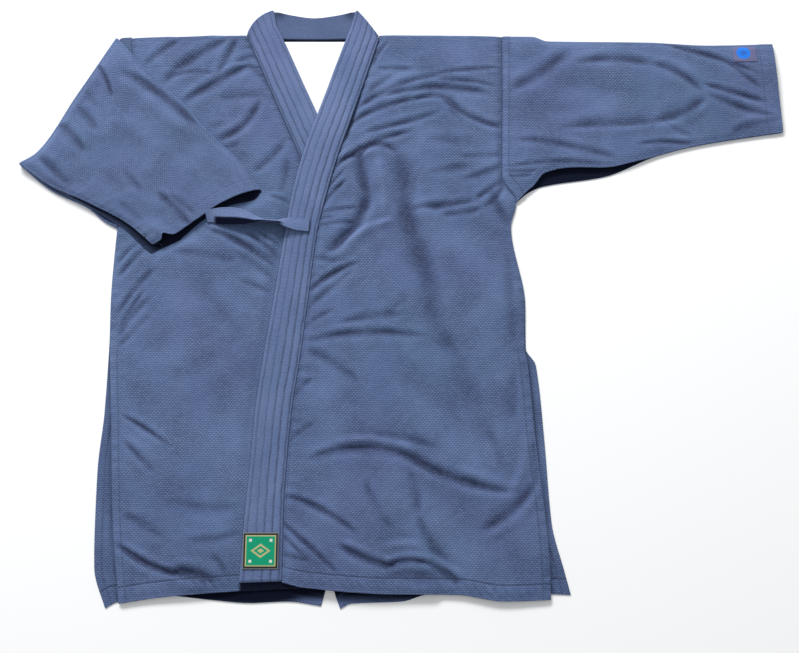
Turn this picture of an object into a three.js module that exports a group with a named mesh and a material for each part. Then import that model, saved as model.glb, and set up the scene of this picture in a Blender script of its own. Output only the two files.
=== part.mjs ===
// A kendo jacket of rice-grain cotton, laid out flat on its back with the left front closed over the right.
// Millimetres, +Z up, the collar towards +Y and the wearer's left sleeve towards +X.
// The wearer's right sleeve is turned over onto the chest.
// The origin is the middle of the outline on the surface that the jacket lies on.
import * as THREE from 'three';

// Driving sizes
const CLOTH = 1.8; // one layer of the body cloth
const BAND = 3; // the collar band, four layers pressed together
const TRIM = 1; // label, badge and neck lining
const SEAM = 0.3; // clearance at a seam and between layers
const BAND_GAP = 0.4; // clearance along the band's long seams
const TAPE = 1.6; // the folded tape of the chest tie
const ON_FLOOR = CLOTH / 2; // middle of a layer on the surface
const ON_BACK = ON_FLOOR + CLOTH + SEAM; // middle of a layer that lies on the back
const ON_FRONT = ON_BACK + CLOTH + SEAM; // middle of a layer that lies on a front
const SHOULDER_Y = 416; // the fold of the shoulders at the neck
const LEFT_SHOULDER_Y = 414; // and at each armhole
const RIGHT_SHOULDER_Y = 411;
const YOKE_DEPTH = 56; // shoulder fold to the seam across the chest
const YOKE_SEAM_Y = SHOULDER_Y - YOKE_DEPTH;
const NECK_Y = 409; // seam of the collar across the back of the neck
const NECK_X = -139; // centre of the back at the neck
const LEAN = 0.0427; // how far the body leans towards +X for each millimetre down
const AIR = 3; // how far a laid layer rises off the one below, away from its edges
const LEAST_AIR = 0.2; // what the deepest trough leaves of it
const OVERLAP_RISE = 3.6; // how much higher the left front lies where the right front is below it
const TURN_STEPS = 5; // straight steps round a fold

// The centre-back vent, from its top to the hem
const VENT = [
  { y: -300, half: SEAM / 2 },
  { y: -430, half: 6 },
  { y: -458, half: 14 },
];

// Body sides from armhole to hem. Below the side vents the back shows outside the front.
const LEFT_SIDE = [
  { y: 420, front: 156, back: 156 },
  { y: 300, front: 154, back: 154 },
  { y: 179, front: 151, back: 151 },
  { y: 139, front: 172, back: 172 },
  { y: 99, front: 163, back: 163 },
  { y: -20, front: 181, back: 182 },
  { y: -88, front: 179, back: 181 },
  { y: -112, front: 183, back: 195 },
  { y: -219, front: 191, back: 204 },
  { y: -340, front: 203, back: 211 },
  { y: -408, front: 207, back: 227 },
  { y: -460, front: 206, back: 240 },
];
const RIGHT_SIDE = [
  { y: 420, front: -428, back: -428 },
  { y: 300, front: -419, back: -419 },
  { y: 179, front: -410, back: -410 },
  { y: 139, front: -424, back: -424 },
  { y: 98, front: -431, back: -431 },
  { y: -5, front: -434, back: -435 },
  { y: -88, front: -431, back: -433 },
  { y: -180, front: -424, back: -434 },
  { y: -267, front: -418, back: -439 },
  { y: -340, front: -412, back: -438 },
  { y: -404, front: -404, back: -435 },
  { y: -460, front: -396, back: -416 },
];

// Hems, by share of the way from the centre or the band to the side
const LEFT_BACK_HEM = [
  { share: 0, y: -458.9 },
  { share: 0.05, y: -452 },
  { share: 0.27, y: -449 },
  { share: 0.4, y: -439 },
  { share: 0.65, y: -436 },
  { share: 1, y: -440 },
];
const RIGHT_BACK_HEM = [
  { share: 0, y: -455 },
  { share: 0.16, y: -449 },
  { share: 0.33, y: -451 },
  { share: 0.5, y: -447 },
  { share: 0.72, y: -441 },
  { share: 0.94, y: -450 },
  { share: 1, y: -458 },
];
const LEFT_FRONT_HEM = [
  { share: 0, y: -423 },
  { share: 0.08, y: -430 },
  { share: 0.4, y: -439 },
  { share: 0.65, y: -440 },
  { share: 0.83, y: -449 },
  { share: 1, y: -447 },
];
const RIGHT_FRONT_HEM = [
  { share: 0, y: -426 },
  { share: 0.45, y: -433 },
  { share: 0.7, y: -439 },
  { share: 0.85, y: -444 },
  { share: 1, y: -452 },
];

// The collar band, from each shoulder down to the hem: its seam edge, its free edge and its middle height
const LEFT_BAND = [
  { seamX: -38, seamY: 408, freeX: -80, freeY: 432, middle: 4.95 },
  { seamX: -45, seamY: 385, freeX: -92, freeY: 398, middle: 4.95 },
  { seamX: -59, seamY: 340, freeX: -107, freeY: 354, middle: 5.1 },
  { seamX: -70, seamY: 305, freeX: -118, freeY: 319, middle: 6.9 },
  { seamX: -81, seamY: 270, freeX: -130, freeY: 283, middle: 8.4 },
  { seamX: -99, seamY: 215, freeX: -148, freeY: 229, middle: 8.4 },
  { seamX: -117, seamY: 147, freeX: -166, freeY: 157, middle: 8.2 },
  { seamX: -129, seamY: 92, freeX: -176, freeY: 95, middle: 6.9 },
  { seamX: -141, seamY: -14, freeX: -191, freeY: -14, middle: 6.3 },
  { seamX: -151, seamY: -103, freeX: -204, freeY: -103, middle: 6.3 },
  { seamX: -161, seamY: -176, freeX: -213, freeY: -176, middle: 6.3 },
  { seamX: -167, seamY: -254, freeX: -218, freeY: -254, middle: 6.3 },
  { seamX: -170, seamY: -319, freeX: -223, freeY: -319, middle: 6.3 },
  { seamX: -170, seamY: -421, freeX: -229, freeY: -423, middle: 6.3 },
];
const RIGHT_BAND = [
  { seamX: -242, seamY: 408, freeX: -200, freeY: 432, middle: 4.95 },
  { seamX: -232, seamY: 385, freeX: -184, freeY: 398, middle: 4.95 },
  { seamX: -207, seamY: 327, freeX: -160, freeY: 343, middle: 4.95 },
  { seamX: -181, seamY: 267, freeX: -133, freeY: 282, middle: 4.95 },
  { seamX: -157, seamY: 210, freeX: -110, freeY: 228, middle: 3.75 },
  { seamX: -138, seamY: 147, freeX: -89, freeY: 157, middle: 3.6 },
  { seamX: -122, seamY: 92, freeX: -74, freeY: 95, middle: 3.6 },
  { seamX: -100, seamY: -14, freeX: -50, freeY: -14, middle: 3.6 },
  { seamX: -83, seamY: -103, freeX: -30, freeY: -103, middle: 3.6 },
  { seamX: -66, seamY: -176, freeX: -14, freeY: -176, middle: 3.6 },
  { seamX: -54, seamY: -254, freeX: -3, freeY: -254, middle: 3.6 },
  { seamX: -45, seamY: -319, freeX: 8, freeY: -319, middle: 3.6 },
  { seamX: -37, seamY: -416, freeX: 22, freeY: -418, middle: 3.6 },
];
// The band behind the neck lies with its inner face up, between the two folds at the shoulders
const NECK_BAND = [
  { seamX: -222, seamY: 412, freeX: -196, freeY: 456 },
  { seamX: -190, seamY: 410, freeX: -176, freeY: 451 },
  { seamX: -139, seamY: 409.3, freeX: -140, freeY: 446 },
  { seamX: -90, seamY: 410, freeX: -102, freeY: 451 },
  { seamX: -60, seamY: 412, freeX: -82, freeY: 456 },
];
const LEFT_NECK_FOLD = { seamX: -38, seamY: 416, freeX: -71, freeY: 459, bulge: 1 };
const RIGHT_NECK_FOLD = { seamX: -246, seamY: 416, freeX: -207, freeY: 459, bulge: 8 };

// The left sleeve, laid out, by share of the way from the armhole to the cuff
const SLEEVE_TOP = [
  { share: 0, y: 414 },
  { share: 0.11, y: 414 },
  { share: 0.17, y: 406 },
  { share: 0.54, y: 404 },
  { share: 0.76, y: 399 },
  { share: 1, y: 401 },
];
const SLEEVE_UNDER = [
  { share: 0, y: 139 },
  { share: 0.05, y: 156 },
  { share: 0.1, y: 165 },
  { share: 0.33, y: 181 },
  { share: 0.53, y: 215 },
  { share: 0.7, y: 233 },
  { share: 1, y: 253 },
];
// The front layer's edge stands back from it at the slit below the arm, and lifts
const SLEEVE_SLIT = [
  { share: 0, back: 0, lift: 0 },
  { share: 0.06, back: 5, lift: 1.5 },
  { share: 0.11, back: 20, lift: 3.2 },
  { share: 0.17, back: 22, lift: 3.4 },
  { share: 0.4, back: 8, lift: 2.8 },
  { share: 0.52, back: 0, lift: 0 },
  { share: 1, back: 0, lift: 0 },
];
const CUFF_TOP_X = 581;
const CUFF_UNDER_X = 586;

// The right sleeve, turned over onto the chest: outlines of the turned part and of the root below it
const TURN_FOLD = [
  { x: -452, y: 407 },
  { x: -507, y: 312 },
  { x: -562, y: 218 },
  { x: -586, y: 202 },
];
const TURNED_START = [
  { x: -446, y: 396 },
  { x: -499, y: 305 },
  { x: -552, y: 214 },
  { x: -574, y: 196 },
];
const TURNED_CUFF = [
  { x: -218, y: 158 },
  { x: -272, y: 137 },
  { x: -312, y: 108 },
  { x: -347, y: 82 },
  { x: -376, y: 70 },
];
const TURNED_TOP = [
  { x: -446, y: 396 },
  { x: -382, y: 334 },
  { x: -336, y: 293 },
  { x: -299, y: 248 },
  { x: -258, y: 210 },
  { x: -218, y: 158 },
];
const TURNED_UNDER = [
  { x: -574, y: 196 },
  { x: -531, y: 162 },
  { x: -479, y: 137 },
  { x: -417, y: 104 },
  { x: -376, y: 70 },
];
const ROOT_UNDER = [
  { x: -431.3, y: 99 },
  { x: -450, y: 109 },
  { x: -477, y: 131 },
  { x: -533, y: 158 },
  { x: -586, y: 202 },
];
// How far the lower wall of the turned cuff runs on past the upper one, across the cuff
const CUFF_LIP = [
  { share: 0, reach: 5 },
  { share: 0.1, reach: 11 },
  { share: 0.3, reach: 6 },
  { share: 0.5, reach: 2 },
  { share: 0.75, reach: 4 },
  { share: 0.88, reach: 14 },
  { share: 1, reach: 12 },
];
const TURNED_LOW = ON_FRONT + 0.25; // middle of the turned sleeve's lower wall
const TURNED_HIGH = TURNED_LOW + CLOTH + SEAM; // and of its upper wall, at the edges
const FOLD_RIM = { width: 7, top: 9.8, foot: 2.4 };

// The largest folds: troughs are negative, ridges positive
const LEFT_FOLDS = [
  { x1: -62, y1: 300, x2: 160, y2: 368, bow: 26, width: 17, height: -3.2 },
  { x1: -62, y1: 236, x2: 60, y2: 290, bow: 10, width: 15, height: -3 },
  { x1: -48, y1: 246, x2: 8, y2: 122, bow: 30, width: 17, height: -3.4 },
  { x1: -14, y1: 226, x2: -124, y2: 62, bow: -46, width: 20, height: -3.6 },
  { x1: -20, y1: 215, x2: -14, y2: 95, bow: 6, width: 26, height: 4.5 },
  { x1: -58, y1: 66, x2: 54, y2: 24, bow: 38, width: 17, height: -2.8 },
  { x1: -124, y1: -70, x2: 10, y2: -62, bow: 6, width: 18, height: -3 },
  { x1: -134, y1: -244, x2: 126, y2: -296, bow: 24, width: 17, height: -3.4 },
  { x1: 118, y1: -352, x2: 185, y2: -258, bow: -16, width: 17, height: -3 },
  { x1: -160, y1: -302, x2: -60, y2: -354, bow: 4, width: 15, height: -2.4 },
  { x1: -140, y1: -268, x2: 118, y2: -322, bow: 26, width: 20, height: 4 },
];
const RIGHT_FOLDS = [
  { x1: -402, y1: 372, x2: -348, y2: 400, bow: 4, width: 14, height: -2.6 },
  { x1: -350, y1: 310, x2: -244, y2: 366, bow: 6, width: 15, height: -2.8 },
  { x1: -300, y1: 232, x2: -222, y2: 296, bow: -22, width: 15, height: -2.6 },
  { x1: -256, y1: 100, x2: -188, y2: 34, bow: 6, width: 16, height: -3 },
  { x1: -396, y1: -192, x2: -330, y2: -222, bow: 0, width: 16, height: -2.4 },
  { x1: -388, y1: -372, x2: -276, y2: -410, bow: -8, width: 16, height: -3.2 },
  { x1: -226, y1: -300, x2: -300, y2: -322, bow: 4, width: 15, height: -2.2 },
];
const SLEEVE_FOLDS = [
  { x1: 222, y1: 348, x2: 446, y2: 330, bow: 34, width: 16, height: -3 },
  { x1: 446, y1: 330, x2: 250, y2: 268, bow: 34, width: 16, height: -3 },
  { x1: 420, y1: 398, x2: 566, y2: 352, bow: 4, width: 14, height: -2.4 },
  { x1: 480, y1: 340, x2: 572, y2: 300, bow: 2, width: 14, height: -2.4 },
  { x1: 236, y1: 236, x2: 330, y2: 224, bow: 2, width: 14, height: -2.2 },
];
const TURNED_FOLDS = [
  { x1: -430, y1: 352, x2: -318, y2: 248, bow: -8, width: 18, height: 3.4 },
  { x1: -542, y1: 268, x2: -486, y2: 214, bow: 4, width: 16, height: -2.4 },
  { x1: -404, y1: 178, x2: -374, y2: 146, bow: 0, width: 15, height: -2 },
  { x1: -360, y1: 146, x2: -318, y2: 104, bow: 4, width: 15, height: 2.6 },
];

// The chest tie, from where it is sewn on the band to its turned end in front of the cuff.
// lean is how far the tape stands on its edge, in degrees.
const TIE = [
  { x: -141, y: 100, z: 10.6, width: 21, lean: 0 },
  { x: -158, y: 101, z: 11.6, width: 20, lean: 6 },
  { x: -176, y: 103, z: 14.2, width: 19, lean: 24 },
  { x: -196, y: 107, z: 15, width: 19, lean: 50 },
  { x: -226, y: 107, z: 15.4, width: 18, lean: 64 },
  { x: -240, y: 110, z: 14, width: 19, lean: 42 },
  { x: -256, y: 112, z: 10.4, width: 20, lean: 14 },
  { x: -272, y: 112, z: 8.8, width: 18, lean: 4 },
  { x: -286, y: 103, z: 8.4, width: 14, lean: 2 },
];
const LABEL = { x: -200.5, y: -380, width: 50, depth: 50 };
const BADGE = { fromShare: 0.85, toShare: 0.937, fromEdge: 0.03, toEdge: 0.2 }; // along and across the sleeve
const LINING = [
  { left: -236, right: -44, y: 406 },
  { left: -214, right: -64, y: 350 },
  { left: -186, right: -84, y: 290 },
  { left: -174, right: -90, y: 272 },
];

const mix = THREE.MathUtils.lerp;
const clamp01 = (value) => THREE.MathUtils.clamp(value, 0, 1);
const ease = (value) => THREE.MathUtils.smoothstep(value, 0, 1);

// A column of a table at a place between its rows, on straight lines
function readColumn(table, key, at, column) {
  const rising = table[0][key] < table[table.length - 1][key];
  const rows = rising ? table : [...table].reverse();
  if (at <= rows[0][key]) return rows[0][column];
  for (let i = 1; i < rows.length; i += 1) {
    if (at <= rows[i][key]) {
      const part = (at - rows[i - 1][key]) / (rows[i][key] - rows[i - 1][key]);
      return mix(rows[i - 1][column], rows[i][column], part);
    }
  }
  return rows[rows.length - 1][column];
}

// A point at a share of the length of an outline
function pointAlong(outline, share) {
  const path = new THREE.CurvePath();
  for (let i = 1; i < outline.length; i += 1) {
    const from = new THREE.Vector2(outline[i - 1].x, outline[i - 1].y);
    path.add(new THREE.LineCurve(from, new THREE.Vector2(outline[i].x, outline[i].y)));
  }
  return path.getPoint(clamp01(share));
}

const axisX = (y) => NECK_X + (NECK_Y - y) * LEAN;
const seamOf = (band) => (y) => readColumn(band, 'seamY', y, 'seamX');
const freeOf = (band) => (y) => readColumn(band, 'freeY', y, 'freeX');
const leftSeam = seamOf(LEFT_BAND);

// How far a set of folds raises or lowers the cloth at a point
function foldLift(folds, x, y) {
  let lift = 0;
  for (const fold of folds) {
    const run = new THREE.Vector2(fold.x2 - fold.x1, fold.y2 - fold.y1);
    const length = run.length();
    run.divideScalar(length);
    const dx = x - fold.x1;
    const dy = y - fold.y1;
    const along = (dx * run.x + dy * run.y) / length;
    const fade = ease(clamp01((along + 0.12) / 0.3)) * ease(clamp01((1.12 - along) / 0.3));
    const arch = 4 * fold.bow * along * (1 - along);
    const off = dx * -run.y + dy * run.x - arch;
    lift += fold.height * fade * Math.exp(-((off / fold.width) ** 2));
  }
  return lift;
}

// Rises from 0 at an edge to 1 at a distance inside it
const inside = (distance, full) => ease(clamp01(distance / full));

// Signed distance to the turned sleeve, positive outside it
function clearOfTurned(x, y) {
  const corners = [TURNED_TOP[0], TURNED_CUFF[0], TURNED_CUFF[TURNED_CUFF.length - 1], TURNED_UNDER[0]];
  let distance = -Infinity;
  corners.forEach((corner, i) => {
    const next = corners[(i + 1) % corners.length];
    const length = Math.hypot(next.x - corner.x, next.y - corner.y);
    const side = ((x - corner.x) * -(next.y - corner.y) + (y - corner.y) * (next.x - corner.x)) / length;
    distance = Math.max(distance, side);
  });
  return distance;
}

// Middle heights of the laid layers
function leftFrontHeight(x, y) {
  const overlap = freeOf(RIGHT_BAND)(y) + 16 - x; // positive where the right front lies below
  const base = mix(ON_BACK, ON_BACK + OVERLAP_RISE, ease(clamp01((overlap + 18) / 18)));
  const edge = inside(readColumn(LEFT_SIDE, 'y', y, 'front') - x, 40)
    * inside(x - leftSeam(y), 30)
    * inside(y + 448, 40);
  return base + edge * Math.max(LEAST_AIR, AIR + foldLift(LEFT_FOLDS, x, y));
}
function rightFrontHeight(x, y) {
  const edge = inside(x - readColumn(RIGHT_SIDE, 'y', y, 'front'), 40)
    * inside(freeOf(LEFT_BAND)(y) - 14 - x, 30)
    * inside(clearOfTurned(x, y) - 26, 30)
    * inside(y + 450, 40);
  return ON_BACK + edge * Math.max(LEAST_AIR, AIR + foldLift(RIGHT_FOLDS, x, y));
}

// A point of a wall: its middle, and the way out through its outer face
const wallPoint = (x, y, z, out = [0, 0, 1]) => ({
  middle: new THREE.Vector3(x, y, z),
  out: new THREE.Vector3(...out).normalize(),
});

// A closed wall from rows of wall points
function wallGeometry(rows, thickness) {
  const across = rows[0].length;
  const positions = [];
  for (const side of [0.5, -0.5]) {
    for (const row of rows) {
      for (const point of row) {
        const place = point.middle.clone().addScaledVector(point.out, side * thickness);
        positions.push(place.x, place.y, place.z);
      }
    }
  }
  const outer = (j, i) => j * across + i;
  const inner = (j, i) => rows.length * across + j * across + i;
  const faces = [];
  const quad = (a, b, c, d) => faces.push(a, b, c, a, c, d);
  const lastRow = rows.length - 1;
  const lastPoint = across - 1;
  for (let j = 0; j < lastRow; j += 1) {
    for (let i = 0; i < lastPoint; i += 1) {
      quad(outer(j, i), outer(j, i + 1), outer(j + 1, i + 1), outer(j + 1, i));
      quad(inner(j, i), inner(j + 1, i), inner(j + 1, i + 1), inner(j, i + 1));
    }
    quad(outer(j, 0), outer(j + 1, 0), inner(j + 1, 0), inner(j, 0));
    quad(outer(j + 1, lastPoint), outer(j, lastPoint), inner(j, lastPoint), inner(j + 1, lastPoint));
  }
  for (let i = 0; i < lastPoint; i += 1) {
    quad(outer(0, i + 1), outer(0, i), inner(0, i), inner(0, i + 1));
    quad(outer(lastRow, i), outer(lastRow, i + 1), inner(lastRow, i + 1), inner(lastRow, i));
  }
  const start = rows[0][0];
  const alongRow = rows[0][1].middle.clone().sub(start.middle);
  const acrossRows = rows[1][0].middle.clone().sub(start.middle);
  if (alongRow.cross(acrossRows).dot(start.out) < 0) {
    for (let i = 0; i < faces.length; i += 3) [faces[i + 1], faces[i + 2]] = [faces[i + 2], faces[i + 1]];
  }
  const geometry = new THREE.BufferGeometry();
  geometry.setAttribute('position', new THREE.Float32BufferAttribute(positions, 3));
  geometry.setIndex(faces);
  geometry.computeVertexNormals();
  return geometry;
}

// Even shares with every corner of the edges among them, so that neighbours share straight seams
function sharesThrough(steps, corners) {
  const closest = 0.35 / steps;
  const kept = corners.filter((share) => share > closest && share < 1 - closest);
  const even = Array.from({ length: steps + 1 }, (_, i) => i / steps);
  const free = even.filter((share) => kept.every((corner) => Math.abs(corner - share) > closest));
  const ends = even.filter((share) => share === 0 || share === 1);
  return [...new Set([...kept, ...free, ...ends])].sort((a, b) => a - b);
}

// A panel that lies flat, between an inner and an outer edge and its hem and top
function panelRows({ hem, top, inner, outer, innerCorners, outerCorners, steps, columns, height }) {
  const shareOf = (y, u) => (y - hem(u)) / (top - hem(u));
  const corners = [...innerCorners.map((y) => shareOf(y, 0)), ...outerCorners.map((y) => shareOf(y, 1))];
  return sharesThrough(steps, corners).map((share) => (
    Array.from({ length: columns + 1 }, (_, i) => {
      const u = i / columns;
      const y = mix(hem(u), top, share);
      const x = mix(inner(y), outer(y), u);
      return wallPoint(x, y, height(x, y));
    })
  ));
}

const cornersOf = (table, key) => table.map((row) => row[key]);

function backRows(side, hem, way) {
  return panelRows({
    hem: (u) => readColumn(hem, 'share', u, 'y'),
    top: NECK_Y - SEAM,
    inner: (y) => axisX(y) + way * readColumn(VENT, 'y', y, 'half'),
    outer: (y) => readColumn(side, 'y', y, 'back'),
    innerCorners: cornersOf(VENT, 'y'),
    outerCorners: cornersOf(side, 'y'),
    steps: 16,
    columns: 8,
    height: () => ON_FLOOR,
  });
}

function frontRows(side, hem, band, way, height) {
  const seam = seamOf(band);
  return panelRows({
    hem: (u) => readColumn(hem, 'share', u, 'y'),
    top: YOKE_SEAM_Y - SEAM,
    inner: (y) => seam(y) + way * BAND_GAP,
    outer: (y) => readColumn(side, 'y', y, 'front'),
    innerCorners: cornersOf(band, 'seamY'),
    outerCorners: cornersOf(side, 'y'),
    steps: 30,
    columns: 18,
    height,
  });
}

// Points round a fold, from the layer below to the layer above. edge is the fold's outline,
// inward the way from it into the cloth.
function foldPoints(edge, inward, low, high, thickness) {
  const radius = (high - low) / 2;
  const reach = thickness / 2 + radius;
  return Array.from({ length: TURN_STEPS + 1 }, (_, i) => {
    const turn = -Math.PI / 2 + (Math.PI * i) / TURN_STEPS;
    const offset = reach - radius * Math.cos(turn);
    return wallPoint(
      edge.x + inward.x * offset,
      edge.y + inward.y * offset,
      low + radius + radius * Math.sin(turn),
      [-inward.x * Math.cos(turn), -inward.y * Math.cos(turn), Math.sin(turn)],
    );
  });
}

// The yoke strip over one shoulder, from the back's top edge over the fold to the chest seam
function yokeRows(neckFold, band, side, shoulderOuterY, way, height) {
  const columns = 10;
  const seam = seamOf(band);
  const outer = (y) => readColumn(side, 'y', y, 'front');
  const down = new THREE.Vector2(0, -1);
  return Array.from({ length: columns + 1 }, (_, i) => {
    const u = i / columns;
    const foldX = mix(neckFold.seamX + way * 0.6, outer(SHOULDER_Y), u);
    const foldY = mix(SHOULDER_Y, shoulderOuterY, u);
    const edge = new THREE.Vector2(foldX, foldY);
    const high = height(foldX, foldY - 8);
    const points = [wallPoint(foldX, NECK_Y, ON_FLOOR, [0, 0, -1])];
    points.push(...foldPoints(edge, down, ON_FLOOR, high, CLOTH));
    for (const seamY of [band[0].seamY, 397, band[1].seamY, 372, YOKE_SEAM_Y]) {
      const y = Math.min(seamY, foldY - 4);
      const x = mix(seam(y) + way * BAND_GAP, outer(y), u);
      points.push(wallPoint(x, y, height(x, y)));
    }
    return points;
  });
}

// A flattened sleeve: one piece of cloth, from its lower edge over the fold and back to it
function sleeveRows({ stations, underShares, overShares, plan, low, high }) {
  return stations.map((u) => {
    const edge = plan(u, 0, 'over');
    const inward = plan(u, 0.2, 'over').sub(edge).normalize();
    const under = underShares.map((w) => {
      const place = plan(u, w, 'under');
      return wallPoint(place.x, place.y, low(u, w), [0, 0, -1]);
    });
    const over = overShares.map((w) => {
      const place = plan(u, w, 'over');
      return wallPoint(place.x, place.y, high(place.x, place.y, u, w));
    });
    const foldHigh = high(edge.x, edge.y, u, 0);
    return [...under, ...foldPoints(edge, inward, low(u, 0), foldHigh, CLOTH), ...over];
  });
}

// Left sleeve
const leftArmX = (y) => readColumn(LEFT_SIDE, 'y', y, 'front') + SEAM;
function leftSleevePlan(u, w, layer) {
  const top = readColumn(SLEEVE_TOP, 'share', u, 'y');
  const slit = layer === 'over' ? readColumn(SLEEVE_SLIT, 'share', u, 'back') : 0;
  const under = readColumn(SLEEVE_UNDER, 'share', u, 'y') + slit;
  const armY = mix(SLEEVE_TOP[0].y, SLEEVE_UNDER[0].y, w);
  return new THREE.Vector2(
    mix(leftArmX(armY), mix(CUFF_TOP_X, CUFF_UNDER_X, w), u),
    mix(top, under, w),
  );
}
function leftSleeveHeight(x, y, u, w) {
  const edge = inside(w, 0.22) * inside(1 - w, 0.22) * inside(u, 0.08) * inside(1.05 - u, 0.25);
  const lift = readColumn(SLEEVE_SLIT, 'share', u, 'lift') * inside(w - 0.6, 0.4);
  return ON_BACK + lift + edge * Math.max(LEAST_AIR, AIR + foldLift(SLEEVE_FOLDS, x, y));
}
const armShare = (y) => (SLEEVE_TOP[0].y - y) / (SLEEVE_TOP[0].y - SLEEVE_UNDER[0].y);
const armCorners = cornersOf(LEFT_SIDE, 'y').map(armShare).filter((w) => w > 0 && w < 1);
const sleeveShares = (steps) => sharesThrough(steps, armCorners).filter((w) => w > 0);

// The turned part of the right sleeve, as a patch between its four edges
function patchPoint(start, end, near, far, u, w) {
  const place = pointAlong(start, w).multiplyScalar(1 - u).addScaledVector(pointAlong(end, w), u);
  place.addScaledVector(pointAlong(near, u), 1 - w).addScaledVector(pointAlong(far, u), w);
  const corner = (outline, share, weight) => place.addScaledVector(pointAlong(outline, share), -weight);
  corner(start, 0, (1 - u) * (1 - w));
  corner(start, 1, (1 - u) * w);
  corner(end, 0, u * (1 - w));
  corner(end, 1, u * w);
  return place;
}
function turnedPlan(u, w, layer) {
  const place = patchPoint(TURNED_START, TURNED_CUFF, TURNED_TOP, TURNED_UNDER, u, w);
  if (layer === 'over') return place;
  const onward = patchPoint(TURNED_START, TURNED_CUFF, TURNED_TOP, TURNED_UNDER, u - 0.1, w);
  const reach = readColumn(CUFF_LIP, 'share', w, 'reach') * inside(u - 0.7, 0.3);
  return place.clone().addScaledVector(place.clone().sub(onward).normalize(), reach);
}
function turnedHeight(x, y, u, w) {
  const edge = inside(w, 0.2) * inside(1.04 - w, 0.2) * inside(u + 0.02, 0.1);
  const mouth = 1 - inside(1 - u, 0.3);
  const lens = 2.4 * mouth * Math.exp(-(((w - 0.13) / 0.12) ** 2));
  const hole = 2.8 * mouth * Math.exp(-(((w - 0.88) / 0.08) ** 2));
  return TURNED_HIGH + lens + hole + edge * Math.max(LEAST_AIR, AIR + foldLift(TURNED_FOLDS, x, y));
}

// The root of the right sleeve, with its hidden layers as one solid and the fold as its rim
function rightRootGeometry() {
  const armhole = RIGHT_SIDE.slice(0, 5).map((row) => ({ x: row.front - SEAM, y: row.y }));
  armhole[0].y = 409;
  armhole[armhole.length - 1].y = ROOT_UNDER[0].y;
  const topEdge = [armhole[0], TURN_FOLD[0]];
  const slab = 2 * CLOTH + SEAM;
  const rim = FOLD_RIM.width;
  const columns = [
    { off: 1, top: slab, foot: 0 },
    { off: 0.75, top: slab, foot: 0 },
    { off: 0.5, top: slab, foot: 0 },
    { off: 0.25, top: slab, foot: 0 },
    { back: rim + 0.5, top: slab, foot: 0 },
    { back: rim, top: FOLD_RIM.top - 1.2, foot: 0 },
    { back: rim - 2, top: FOLD_RIM.top, foot: 0 },
    { back: rim - 4, top: FOLD_RIM.top - 0.3, foot: 0 },
    { back: 1.4, top: FOLD_RIM.top - 2, foot: 0.4 },
    { back: 0, top: FOLD_RIM.top / 2 + 0.6, foot: FOLD_RIM.foot },
  ];
  const lengthOf = (points) => points.slice(1).reduce(
    (sum, point, i) => sum + Math.hypot(point.x - points[i].x, point.y - points[i].y),
    0,
  );
  const whole = lengthOf(armhole);
  const armSharesHere = armhole.map((_, i) => lengthOf(armhole.slice(0, i + 1)) / whole);
  const rows = sharesThrough(12, armSharesHere).map((w) => {
    const arm = pointAlong(armhole, w);
    const fold = pointAlong(TURN_FOLD, w);
    const width = arm.distanceTo(fold);
    return columns.map(({ off, back, top, foot }) => {
      const u = off === undefined ? 1 - Math.min(back, width * 0.2 * (back / rim)) / width : 1 - off;
      const place = patchPoint(armhole, TURN_FOLD, topEdge, ROOT_UNDER, u, w);
      const middle = new THREE.Vector3(place.x, place.y, (top + foot) / 2);
      return { middle, out: new THREE.Vector3(0, 0, top - foot) };
    });
  });
  return wallGeometry(rows, 1);
}

// The collar band, one strip from the left hem round the neck to the right hem
function collarRows() {
  const columns = 4;
  const rowAt = (row, z, out) => Array.from({ length: columns + 1 }, (_, i) => (
    wallPoint(mix(row.seamX, row.freeX, i / columns), mix(row.seamY, row.freeY, i / columns), z, out)
  ));
  const columnNames = Object.keys(LEFT_BAND[0]);
  const between = (a, b, part) => (
    Object.fromEntries(columnNames.map((name) => [name, mix(a[name], b[name], part)]))
  );
  const subdivided = (table) => table.flatMap((row, i) => {
    const next = table[i + 1];
    if (next === undefined) return [row];
    const steps = Math.max(1, Math.round(Math.abs(next.seamY - row.seamY) / 45));
    return Array.from({ length: steps }, (_, k) => between(row, next, k / steps));
  });
  const neckMiddle = BAND / 2;
  const foldAt = (fold, way) => {
    const run = new THREE.Vector2(fold.freeX - fold.seamX, fold.freeY - fold.seamY).normalize();
    const inward = new THREE.Vector2(-way * run.y, way * run.x);
    const lines = Array.from({ length: columns + 1 }, (_, i) => {
      const part = i / columns;
      const push = fold.bulge * 4 * part * (1 - part);
      const edge = new THREE.Vector2(
        mix(fold.seamX, fold.freeX, part) - inward.x * push,
        mix(fold.seamY, fold.freeY, part) - inward.y * push,
      );
      return foldPoints(edge, inward, neckMiddle, LEFT_BAND[0].middle, BAND);
    });
    return lines[0].map((_, k) => lines.map((line) => line[k]));
  };
  const leftDown = subdivided(LEFT_BAND).map((row) => rowAt(row, row.middle, [0, 0, 1]));
  const rightDown = subdivided(RIGHT_BAND).map((row) => rowAt(row, row.middle, [0, 0, 1]));
  const neck = NECK_BAND.map((row) => rowAt(row, neckMiddle, [0, 0, -1]));
  return [
    ...leftDown.reverse(),
    ...foldAt(LEFT_NECK_FOLD, 1).reverse(),
    ...neck.reverse(),
    ...foldAt(RIGHT_NECK_FOLD, -1),
    ...rightDown,
  ];
}

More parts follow.
